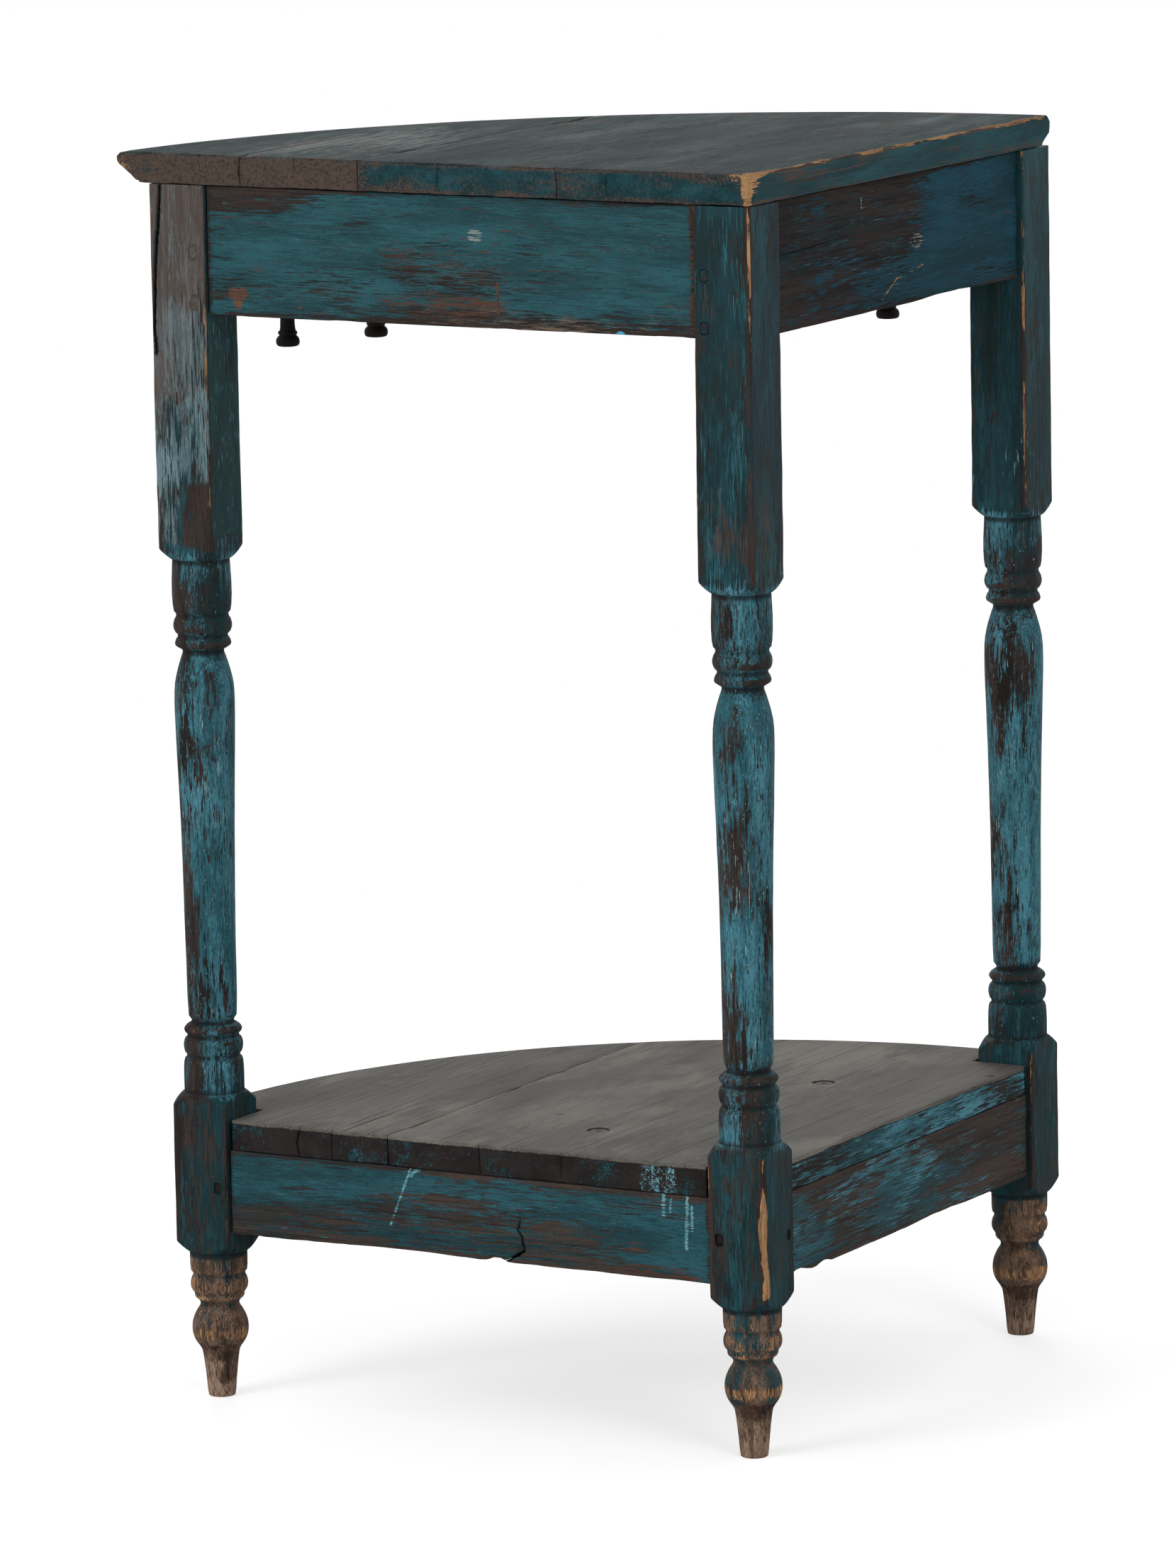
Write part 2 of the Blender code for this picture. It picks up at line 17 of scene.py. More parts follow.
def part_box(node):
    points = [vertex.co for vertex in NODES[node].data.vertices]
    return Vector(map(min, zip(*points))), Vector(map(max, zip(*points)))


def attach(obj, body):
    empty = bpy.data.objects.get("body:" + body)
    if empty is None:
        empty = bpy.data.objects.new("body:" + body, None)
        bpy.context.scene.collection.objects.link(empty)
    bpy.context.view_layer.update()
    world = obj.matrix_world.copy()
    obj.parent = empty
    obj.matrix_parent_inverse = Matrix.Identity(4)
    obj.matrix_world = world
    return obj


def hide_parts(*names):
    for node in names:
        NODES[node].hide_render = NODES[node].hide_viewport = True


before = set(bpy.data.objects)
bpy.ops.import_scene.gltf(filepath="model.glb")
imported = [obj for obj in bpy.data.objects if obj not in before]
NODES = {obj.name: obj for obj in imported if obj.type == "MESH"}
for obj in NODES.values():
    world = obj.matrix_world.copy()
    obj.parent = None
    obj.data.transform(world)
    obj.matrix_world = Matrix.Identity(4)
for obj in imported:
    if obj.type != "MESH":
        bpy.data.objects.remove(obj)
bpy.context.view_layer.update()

# Places read from the frame
LEG_LOW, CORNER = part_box("leg_corner")
LEG_TOP = CORNER.z
LEG_SQUARE = CORNER.x - LEG_LOW.x
HALF_SQUARE = LEG_SQUARE / 2
RIGHT_SIDE = CORNER.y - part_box("leg_right")[0].y
LEFT_SIDE = CORNER.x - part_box("leg_left")[0].x
TOP_SEAM_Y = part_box("top_board_back")[0].y
SHELF_SEAM_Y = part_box("shelf_board_back")[0].y
STAND_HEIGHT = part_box("top_board_back")[1].z
SHELF_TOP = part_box("shelf_board_back")[1].z
UPPER_RAIL_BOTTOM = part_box("upper_rail_right")[0].z
RAIL_FACE = 0.0035  # how far the rails and the shelf lie inside the legs' outer faces
GAP = 0.0003  # between touching pieces

# Turned outlines: thousandths of the length, and of the half width there
FOOT_LENGTH = 0.0904
SHAFT_BOTTOM = 0.1896
SHAFT_TOP = 0.5146
SHOULDER_HEIGHT = 0.0078
FOOT_SHARES = (
    (0, 456), (166, 520), (300, 600), (330, 640), (385, 830), (430, 910), (476, 930), (530, 895),
    (586, 775), (622, 650), (645, 637), (664, 690), (684, 815), (717, 822), (736, 912),
    (774, 950), (813, 912), (832, 854), (852, 854), (868, 934), (1000, 944),
)
SHAFT_SHARES = (
    (0, 976), (40, 982), (61, 955), (65, 865), (70, 865), (74, 934), (87, 976), (99, 934),
    (103, 843), (108, 843), (112, 923), (118, 955), (125, 860), (130, 700), (134, 690),
    (138, 730), (144, 806), (272, 822), (402, 843), (531, 886), (660, 955), (724, 982),
    (763, 966), (789, 875), (815, 743), (825, 674), (831, 674), (835, 800), (840, 923),
    (850, 880), (855, 812), (860, 812), (864, 902), (875, 966), (887, 923), (893, 854),
    (899, 854), (904, 944), (943, 982), (1000, 934),
)
DROP_SHARES = (
    (0, 930), (80, 960), (130, 700), (280, 580), (520, 620), (670, 650), (700, 810), (740, 810),
    (770, 690), (820, 930), (900, 1000), (960, 950), (1000, 800),
)
LEG_CENTRES = {
    "leg_corner": (HALF_SQUARE, HALF_SQUARE),
    "leg_right": (RIGHT_SIDE - HALF_SQUARE, HALF_SQUARE),
    "leg_left": (HALF_SQUARE, LEFT_SIDE - HALF_SQUARE),
}

# Fineness of the meshes
LEG_COLUMNS = 128
COLUMN_CROWDING = 0.72  # how much the columns crowd towards the four arrises
ROW_STEP = 0.0025
SHOULDER_STEPS = 14
GRID_STEPS = (0.005, 0.005, 0.004)
LATHE_COLUMNS = 40
SHARP_ANGLE = 50
RELIEF_DEPTH = 0.0008  # the depth of turning that counts as 1
CRACK_STEP = 0.002
PEG_COLUMNS = 32
PEG_SQUARE = 3.4  # how square a whittled peg is: 2 is round
PEG_WIDTH = 0.74  # as a share of its height

# Colours as they are seen, red, green and blue from 0 to 255
INK_TEAL = (10, 36, 39)
DARK_TEAL = (18, 54, 60)
TEAL = (30, 75, 83)
BLUE = (38, 87, 98)
TURQUOISE = (76, 134, 150)
PALE_TURQUOISE = (122, 172, 184)
PALE = (140, 148, 146)
GREY_TEAL = (76, 90, 93)
BLACK_BROWN = (24, 20, 19)
UMBER = (40, 34, 32)
BROWN = (62, 51, 46)
GREY_UMBER = (78, 68, 63)
RUST = (104, 64, 46)
FOOT_DARK = (74, 56, 45)
FOOT_WOOD = (112, 89, 75)
GREY_WOOD = (106, 103, 98)
GREY_BROWN = (88, 85, 80)
DARK_GRAIN = (52, 50, 48)
CRACK_LINE = (34, 32, 31)
SLATE = (52, 66, 67)
TOP_FLECK = (96, 112, 114)

# The two colours that a coat wanders between
BARE = ((122, 92, 68), (182, 140, 98))
INKS = (INK_TEAL, DARK_TEAL)
TEALS = (DARK_TEAL, TEAL)
BLUES = (BLUE, TURQUOISE)
PALE_BLUES = (TURQUOISE, PALE_TURQUOISE)
BROWNS = (UMBER, BROWN)
DARKS = (BLACK_BROWN, UMBER)
DARK_BROWNS = (BLACK_BROWN, BROWN)
SCRATCH_BLUES = ((96, 150, 164), (150, 188, 194))
FOOT_STAINS = (FOOT_DARK, (128, 102, 84))
FOOT_PALES = (FOOT_WOOD, (164, 138, 118))
BLOCK_BLUES = (BLUE, (62, 112, 124))
SHADED_TEALS = (INK_TEAL, (22, 50, 64))
INNER_TEALS = (DARK_TEAL, (30, 66, 68))
DRY_WOODS = (GREY_UMBER, (94, 88, 85))
DRY_TEALS = (GREY_TEAL, (108, 118, 121))
DRY_BLUES = ((80, 104, 110), (110, 136, 142))
DASH_BROWNS = (BROWN, (88, 60, 48))
FLECK_TEALS = (GREY_TEAL, (84, 120, 128))
RUBBED_BROWNS = (GREY_UMBER, (112, 98, 86))
RUST_SPOTS = ((78, 58, 48), (106, 76, 60))
SPECK_BLUES = ((70, 160, 190), (90, 180, 205))
UPPER_TEALS = ((22, 60, 66), (38, 86, 94))
LEFT_TEALS = ((10, 46, 54), (20, 66, 84))
LEFT_WOODS = ((32, 29, 29), (56, 48, 44))
LOWER_TEALS = ((22, 60, 67), (40, 88, 98))
LOWER_WOODS = ((48, 41, 38), (72, 60, 54))
TOP_WOODS = (GREY_UMBER, (86, 72, 64))
TOP_SLATES = ((30, 44, 47), SLATE)
PALE_SLATES = (SLATE, (80, 92, 92))
SCUFF_GREYS = (GREY_TEAL, (112, 118, 114))
SHELF_WOODS = (GREY_BROWN, GREY_WOOD)
SHELF_PALES = (GREY_WOOD, (122, 117, 109))
SHELF_STREAKS = (GREY_WOOD, (128, 126, 121))

NOISE_SPREAD = 0.095  # standard deviation of the noise texture's value
NORMAL = NormalDist()
UP = Vector((0, 0, 1))


def place(along_right, along_left, height):
    """The frame's X, Y, Z of a place measured from the corner."""
    return Vector((CORNER.x - along_left, CORNER.y - along_right, height))


def on_right(along, height, across=RAIL_FACE):
    """A place, or its radii, on the face towards the right wall."""
    return (along, across, height)


def on_left(along, height, across=RAIL_FACE):
    """A place, or its radii, on the face towards the left wall."""
    return (across, along, height)


def on_top(along, across, height):
    """A place on a level face."""
    return (along, across, height)


INWARD = {on_right: Vector((-1, 0, 0)), on_left: Vector((0, -1, 0)), on_top: -UP}


def seen(colour):
    """The linear colour of a colour as it is seen."""
    shares = [channel / 255 for channel in colour]
    return tuple(
        share / 12.92 if share < 0.04045 else ((share + 0.055) / 1.055) ** 2.4
        for share in shares
    )


def smooth_step(value, low, high):
    """0 below low, 1 above high and smooth between them, for numbers or arrays."""
    share = np.clip((value - low) / (high - low), 0, 1)
    return share * share * (3 - 2 * share)


def wobble(point, scale, seed):
    """Smooth noise from -1 to 1 at a point."""
    return noise.noise(Vector(point) * scale + Vector((seed * 7.3, seed * 3.1, seed * 5.7)))


def add_piece(name, data):
    item = bpy.data.objects.new(name, data)
    bpy.context.scene.collection.objects.link(item)
    return item


def store(mesh, name, kind, values):
    """Keeps a value for each point of the mesh, for the material to read."""
    layer = mesh.attributes.new(name, kind, "POINT")
    key = "vector" if kind == "FLOAT_VECTOR" else "value"
    layer.data.foreach_set(key, np.asarray(values, np.float32).ravel())


def points_of(mesh):
    points = np.empty(len(mesh.vertices) * 3, np.float32)
    mesh.vertices.foreach_get("co", points)
    return points.reshape(-1, 3)


def net_mesh(name, rings):
    """A closed mesh over rings of points, with its normals outwards."""
    count = len(rings[0])
    last = (len(rings) - 1) * count
    faces = [tuple(range(count)), tuple(range(last, last + count))]
    for near in range(0, last, count):
        for index in range(count):
            beside = (index + 1) % count
            far = near + count
            faces.append((near + index, near + beside, far + beside, far + index))
    mesh = bpy.data.meshes.new(name)
    mesh.from_pydata([tuple(point) for ring in rings for point in ring], [], faces)
    shape = bmesh.new()
    shape.from_mesh(mesh)
    bmesh.ops.recalc_face_normals(shape, faces=shape.faces)
    shape.to_mesh(mesh)
    shape.free()
    return mesh


def finish_piece(item, node, material):
    """Shades a new piece, gives it its material, puts it under the root body and hides the node that
    it stands for.
    """
    mesh = item.data
    mesh.shade_smooth()
    mesh.set_sharp_from_angle(angle=math.radians(SHARP_ANGLE))
    mesh.materials.clear()
    mesh.materials.append(material)
    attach(item, "root")
    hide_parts(node)


def cut(piece, cutter):
    """Cuts one object from another and removes the cutter."""
    modifier = piece.modifiers.new("cut", "BOOLEAN")
    modifier.operation = "DIFFERENCE"
    modifier.solver = "EXACT"
    modifier.object = cutter
    graph = bpy.context.evaluated_depsgraph_get()
    mesh = bpy.data.meshes.new_from_object(piece.evaluated_get(graph))
    piece.modifiers.clear()
    piece.data = mesh
    bpy.data.objects.remove(cutter, do_unlink=True)


def chaikin(points, rounds=2):
    """Rounds the corners of an outline and keeps its two ends."""
    for _ in range(rounds):
        rounded = [points[0]]
        for near, far in zip(points, points[1:]):
            rounded.append(tuple(0.75 * a + 0.25 * b for a, b in zip(near, far)))
            rounded.append(tuple(0.25 * a + 0.75 * b for a, b in zip(near, far)))
        rounded.append(points[-1])
        points = rounded
    return points


def filled_in(points, step):
    """Adds points so that no two are further apart in height than the step."""
    full = [points[0]]
    for near, far in zip(points, points[1:]):
        parts = max(1, math.ceil((far[0] - near[0]) / step))
        for part in range(1, parts + 1):
            share = part / parts
            full.append(tuple(a + (b - a) * share for a, b in zip(near, far)))
    return full


def turned_outline(shares, start, length, half_width):
    """The heights and radii of an outline given in thousandths."""
    return [(start + up / 1000 * length, out / 1000 * half_width) for up, out in shares]


def shoulder(start, end, first):
    """The slope from a turned radius out to the square's corners."""
    corner = LEG_SQUARE * math.sqrt(0.5)
    return [
        (start + (end - start) * share, first + (corner - first) * share**0.8)
        for share in np.linspace(0, 1, SHOULDER_STEPS)
    ]


def leg_rows():
    """Heights up a leg, each with the radius that the lathe left there."""
    wide = LEG_SQUARE * 0.78  # beyond the square's corners, so that the square shows
    foot = turned_outline(FOOT_SHARES, 0, FOOT_LENGTH, HALF_SQUARE)
    shaft = turned_outline(SHAFT_SHARES, SHAFT_BOTTOM, SHAFT_TOP - SHAFT_BOTTOM, HALF_SQUARE)
    below = shoulder(SHAFT_BOTTOM, SHAFT_BOTTOM - SHOULDER_HEIGHT, shaft[0][1])[::-1]
    rows = [(0.0, foot[0][1] - 0.0008), (0.0005, foot[0][1] - 0.0002)]
    rows += chaikin(foot, 1)[1:]
    rows += shoulder(FOOT_LENGTH, FOOT_LENGTH + SHOULDER_HEIGHT, foot[-1][1])[1:]
    rows += [(rows[-1][0] + 0.0004, wide), (below[0][0] - 0.0004, wide)]
    rows += below
    rows += chaikin(shaft, 1)[1:]
    rows += shoulder(SHAFT_TOP, SHAFT_TOP + SHOULDER_HEIGHT, shaft[-1][1])[1:]
    rows += [(rows[-1][0] + 0.0004, wide), (LEG_TOP - 0.0006, wide), (LEG_TOP, wide)]
    return np.array(filled_in(rows, ROW_STEP))


def worn_square(heights, angles, seed):
    """How far out the square stock reaches at each height and angle, its arrises worn round."""
    quarter = (angles + math.pi / 4) % (math.pi / 2) - math.pi / 4
    corner_index = np.floor(angles / (math.pi / 2)).astype(int) % 4
    worn = np.empty((len(heights), 4))
    for row, height in enumerate(heights):
        for corner in range(4):
            slow = wobble((corner * 9, 0, height), 14, seed)
            fast = wobble((corner * 9, 4, height), 75, seed)
            worn[row, corner] = 0.0016 + 0.0009 * slow + 0.0006 * fast
    worn = np.clip(worn, 0.0007, 0.0034)[:, corner_index]
    side = np.abs(quarter)[None, :]
    flat = HALF_SQUARE / np.cos(side)
    reach = (HALF_SQUARE - worn) * math.sqrt(2)
    off = side - math.pi / 4
    arc = reach * np.cos(off) + np.sqrt(np.maximum(worn**2 - (reach * np.sin(off)) ** 2, 0))
    return np.where(flat * np.sin(side) <= HALF_SQUARE - worn, flat, arc)


def leg_mesh(name, seed):
    """A leg as one net of rows and columns: the turned radius kept inside the worn square."""
    heights, turned = leg_rows().T
    even = np.arange(LEG_COLUMNS) / LEG_COLUMNS * 2 * math.pi
    angles = even + COLUMN_CROWDING * np.sin(4 * even) / 4
    square = worn_square(heights, angles, seed)
    blend = 0.0003
    low = np.minimum(square, turned[:, None])
    high = np.maximum(square, turned[:, None])
    radius = low - blend * np.log1p(np.exp(-(high - low) / blend))
    x = radius * np.cos(angles)
    y = radius * np.sin(angles)
    z = np.repeat(heights[:, None], LEG_COLUMNS, axis=1)
    for row, height in enumerate(heights):
        for column in range(LEG_COLUMNS):
            stretched = (x[row, column], y[row, column], height * 0.3)
            dent = 0.00012 * (1 + wobble(stretched, 160, seed))
            dent += 0.00018 * (1 + wobble(stretched, 45, seed + 3))
            factor = 1 - dent / radius[row, column]
            x[row, column] *= factor
            y[row, column] *= factor
    across = np.abs(np.abs(y) - np.abs(x))
    in_square = smooth_step(turned[:, None] - square, -0.0005, 0.0015)
    arris = (1 - smooth_step(across, 0.0, 0.0055)) * in_square
    weight = np.exp(-(((heights[:, None] - heights[None, :]) / 0.0035) ** 2))
    clipped = np.minimum(turned, HALF_SQUARE * 1.05)
    mean = weight @ clipped / weight.sum(axis=1)
    relief = ((clipped - mean) / RELIEF_DEPTH)[:, None] * (1 - in_square)
    centre = place(*LEG_CENTRES[name], 0)
    mesh = net_mesh(name + "_worn", np.stack([x + centre.x, y + centre.y, z], axis=2).tolist())
    store(mesh, "grain", "FLOAT_VECTOR", np.stack([x, y, z], axis=2))
    store(mesh, "arris", "FLOAT", arris)
    store(mesh, "relief", "FLOAT", relief)
    return mesh


def peg(name, centre, outward, size, rings, seed):
    """A whittled four-sided peg, its rings given by their distance out and share of the size."""
    outward = Vector(outward)
    across = UP.cross(outward)
    nets = []
    for distance, share in rings:
        net = []
        for column in range(PEG_COLUMNS):
            angle = 2 * math.pi * column / PEG_COLUMNS
            cos, sin = math.cos(angle), math.sin(angle)
            reach = (abs(cos) ** PEG_SQUARE + abs(sin) ** PEG_SQUARE) ** (-1 / PEG_SQUARE)
            reach *= share * (1 + 0.07 * wobble((cos, sin, 0), 1.1, seed))
            spot = centre + outward * distance + across * (cos * reach * size[0])
            net.append(spot + UP * (sin * reach * size[1]))
        nets.append(net)
    return add_piece(name, net_mesh(name, nets))


def peg_place(pin):
    """The middle of a pin, half its length and the half sizes of its whittled end."""
    low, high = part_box(pin)
    half_tall = (high.z - low.z) / 2 * 0.94
    return (low + high) / 2, (high.x - low.x) / 2, (half_tall * PEG_WIDTH, half_tall)


def pin_hole(pin, gap, seed):
    """A cutter a little wider than a pin, open towards the wall."""
    centre, half, size = peg_place(pin)
    size = [value + gap for value in size]
    rings = ((-half - 0.002, 1), (half + 0.004, 1))
    return peg(pin + "_hole", centre, (1, 0, 0), size, rings, seed)


def crack(wall, across, width, depth, seed, *spots):
    """A thin jagged wedge along a path on a face, to be cut from a piece."""
    inward = INWARD[wall]
    path = [wall(*spot, across) for spot in spots]
    points = [place(*spot) for spot in path]
    full = []
    for near, far in zip(points, points[1:]):
        parts = max(2, int((far - near).length / CRACK_STEP))
        full += [near.lerp(far, part / parts) for part in range(parts)]
    full.append(points[-1])
    last = len(full) - 1
    sections = []
    for index, point in enumerate(full):
        ahead = full[min(index + 1, last)] - full[max(index - 1, 0)]
        side = ahead.cross(inward).normalized()
        share = index / last
        taper = min(1.0, 5 * share + 0.15, 4 * (1 - share) + 0.12)
        half = side * (width / 2 * taper * (1 + 0.4 * wobble(point, 400, seed)))
        shifted = point + side * (0.0005 * wobble(point, 300, seed + 5))
        outside = shifted - inward * 0.002
        inside = shifted + inward * (depth * (0.5 + 0.5 * taper))
        sections.append((outside - half, outside + half, inside + half / 4, inside - half / 4))
    return add_piece("crack", net_mesh("crack", sections))


def bisect(shape, origin, normal, clear=False):
    """Cuts a mesh along a plane, and clears what lies beyond it if asked."""
    geometry = shape.verts[:] + shape.edges[:] + shape.faces[:]
    return bmesh.ops.bisect_plane(
        shape, geom=geometry, plane_co=origin, plane_no=normal, clear_outer=clear, dist=1e-6
    )


def sharp_edges(shape, least=0.006):
    """The long arrises of a mesh."""
    return [
        edge
        for edge in shape.edges
        if len(edge.link_faces) == 2
        and edge.calc_face_angle(0) > math.radians(35)
        and edge.calc_length() > least
    ]


def edge_tree(edges, step=0.001):
    """A search tree of points along edges."""
    tree = kdtree.KDTree(sum(int(edge.calc_length() / step) + 2 for edge in edges))
    for edge in edges:
        start, end = (vertex.co for vertex in edge.verts)
        parts = int(edge.calc_length() / step) + 1
        for part in range(parts + 1):
            tree.insert(start.lerp(end, part / parts), part)
    tree.balance()
    return tree


def rounded_board(node, trims, round_by, seam):
    """A trimmed copy of a node with its arrises rounded, and a tree of where they were."""

    def at_seam(edge, near):
        return seam is not None and all(abs(vertex.co.y - seam) < near for vertex in edge.verts)

    shape = bmesh.new()
    shape.from_mesh(NODES[node].data)
    bmesh.ops.remove_doubles(shape, verts=shape.verts, dist=0.00001)
    for origin, normal in trims:
        result = bisect(shape, origin, normal, True)
        rim = [item for item in result["geom_cut"] if isinstance(item, bmesh.types.BMEdge)]
        bmesh.ops.holes_fill(shape, edges=rim, sides=0)
    flat = math.radians(0.5)
    bmesh.ops.dissolve_limit(shape, angle_limit=flat, verts=shape.verts, edges=shape.edges)
    bmesh.ops.recalc_face_normals(shape, faces=shape.faces)
    edges = sharp_edges(shape)
    tree = edge_tree(edges)
    settings = {"profile": 0.5, "affect": "EDGES"}
    if seam is not None:
        joint = [edge for edge in edges if at_seam(edge, 0.0008)]
        bmesh.ops.bevel(shape, geom=joint, offset=0.00018, segments=1, **settings)
        edges = [edge for edge in sharp_edges(shape) if not at_seam(edge, 0.0012)]
    bmesh.ops.bevel(
        shape, geom=edges, offset=round_by, segments=3, clamp_overlap=True, **settings
    )
    mesh = bpy.data.meshes.new(node + "_worn")
    shape.to_mesh(mesh)
    shape.free()
    return add_piece(node + "_worn", mesh), tree


def worn_board(node, seed, trims=(), round_by=0.0011, seam=None, wear=1.0):
    """A board or rail with cracks, nicks and rounded, knocked arrises, as a fine net of points."""
    item, tree = rounded_board(node, trims, round_by, seam)
    for line in CRACKS.get(node, ()):
        cut(item, crack(*line))
    shape = bmesh.new()
    shape.from_mesh(item.data)
    low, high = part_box(node)
    for axis in range(3):
        normal = Vector((0, 0, 0))
        normal[axis] = 1
        count = int((high[axis] - low[axis]) / GRID_STEPS[axis]) + 1
        for index in range(1, count):
            bisect(shape, normal * (low[axis] + (high[axis] - low[axis]) * index / count), normal)
    bmesh.ops.recalc_face_normals(shape, faces=shape.faces)
    shape.normal_update()
    arris = []
    moves = []
    for vertex in shape.verts:
        _, _, distance = tree.find(vertex.co)
        close = 1 - smooth_step(distance, 0.0006, 0.0026)
        knock = max(0.0, wobble(vertex.co, 38, seed) + 0.55 * wobble(vertex.co, 130, seed + 2))
        flat = 0.0001 * (1 + wobble(vertex.co, 30, seed + 4))
        arris.append(float(1 - smooth_step(distance, 0.0003, 0.0042)))
        moves.append(float(flat + wear * close * (0.0001 + 0.0011 * knock)))
    for vertex, move in zip(shape.verts, moves):
        shift = -vertex.normal * move
        for centre, radii, pull in NICKS.get(node, ()):
            away = vertex.co - place(*centre)
            scaled = Vector((away.x / radii[1], away.y / radii[0], away.z / radii[2]))
            share = 1 - smooth_step(scaled.length, 0.25, 1.0)
            shift += Vector((-pull[1], -pull[0], pull[2])) * float(share)
        moved = vertex.co + shift
        vertex.co = [min(max(moved[axis], low[axis]), high[axis]) for axis in range(3)]
    item.data.clear_geometry()
    shape.to_mesh(item.data)
    shape.free()
    store(item.data, "arris", "FLOAT", arris)
    store(item.data, "relief", "FLOAT", np.zeros(len(arris)))
    return item


def straight_grain(item, along):
    """Keeps each point's place across and along the grain, along last."""
    order = {"x": (1, 2, 0), "y": (0, 2, 1), "z": (0, 1, 2)}[along]
    store(item.data, "grain", "FLOAT_VECTOR", points_of(item.data)[:, order])


def curved_grain(item, centre):
    """The same for a rail whose grain follows a circle about a centre."""
    points = points_of(item.data)
    dx = points[:, 0] - centre.x
    dy = points[:, 1] - centre.y
    radius = np.hypot(dx, dy)
    along = np.unwrap(np.arctan2(-dy, -dx)) * radius.mean()
    store(item.data, "grain", "FLOAT_VECTOR", np.stack([radius, points[:, 2], along], axis=1))


def lathe(name, outline, centre, seed, rough=0.0002):
    """A turned piece from its outline, a row of (radius, height) from the top down."""
    rows = chaikin(outline)
    rings = []
    for radius, height in rows:
        ring = []
        for column in range(LATHE_COLUMNS):
            angle = 2 * math.pi * column / LATHE_COLUMNS
            point = Vector((radius * math.cos(angle), radius * math.sin(angle), height))
            shrink = 1 - min(0.06, rough * (1 + wobble(point, 260, seed)) / max(radius, 0.001))
            ring.append((point.x * shrink + centre.x, point.y * shrink + centre.y, height))
        rings.append(ring)
    item = add_piece(name, net_mesh(name, rings))
    straight_grain(item, "z")
    reach = np.array([radius for radius, _ in rows])
    smooth = np.convolve(np.pad(reach, 6, mode="edge"), np.ones(13) / 13, mode="valid")
    relief = np.repeat((reach - smooth) / RELIEF_DEPTH, LATHE_COLUMNS)
    store(item.data, "relief", "FLOAT", relief)
    store(item.data, "arris", "FLOAT", np.zeros(len(relief)))
    return item


def triple(scales):
    """Scales along three axes, from a pair (across the grain, along it) or from all three."""
    return scales if len(scales) == 3 else (scales[0], *scales)


def add_node(tree, kind, inputs=(), **settings):
    """A new shader node with its settings, and its inputs set to values or linked to outputs."""
    made = tree.nodes.new("ShaderNode" + kind)
    for key, value in settings.items():
        setattr(made, key, value)
    set_inputs(tree, made, inputs)
    return made


def set_inputs(tree, node, inputs):
    """Gives a node's inputs their values, or links them to other nodes' outputs."""
    for key, value in dict(inputs).items():
        if isinstance(value, bpy.types.NodeSocket):
            tree.links.new(value, node.inputs[key])
        else:
            node.inputs[key].default_value = value


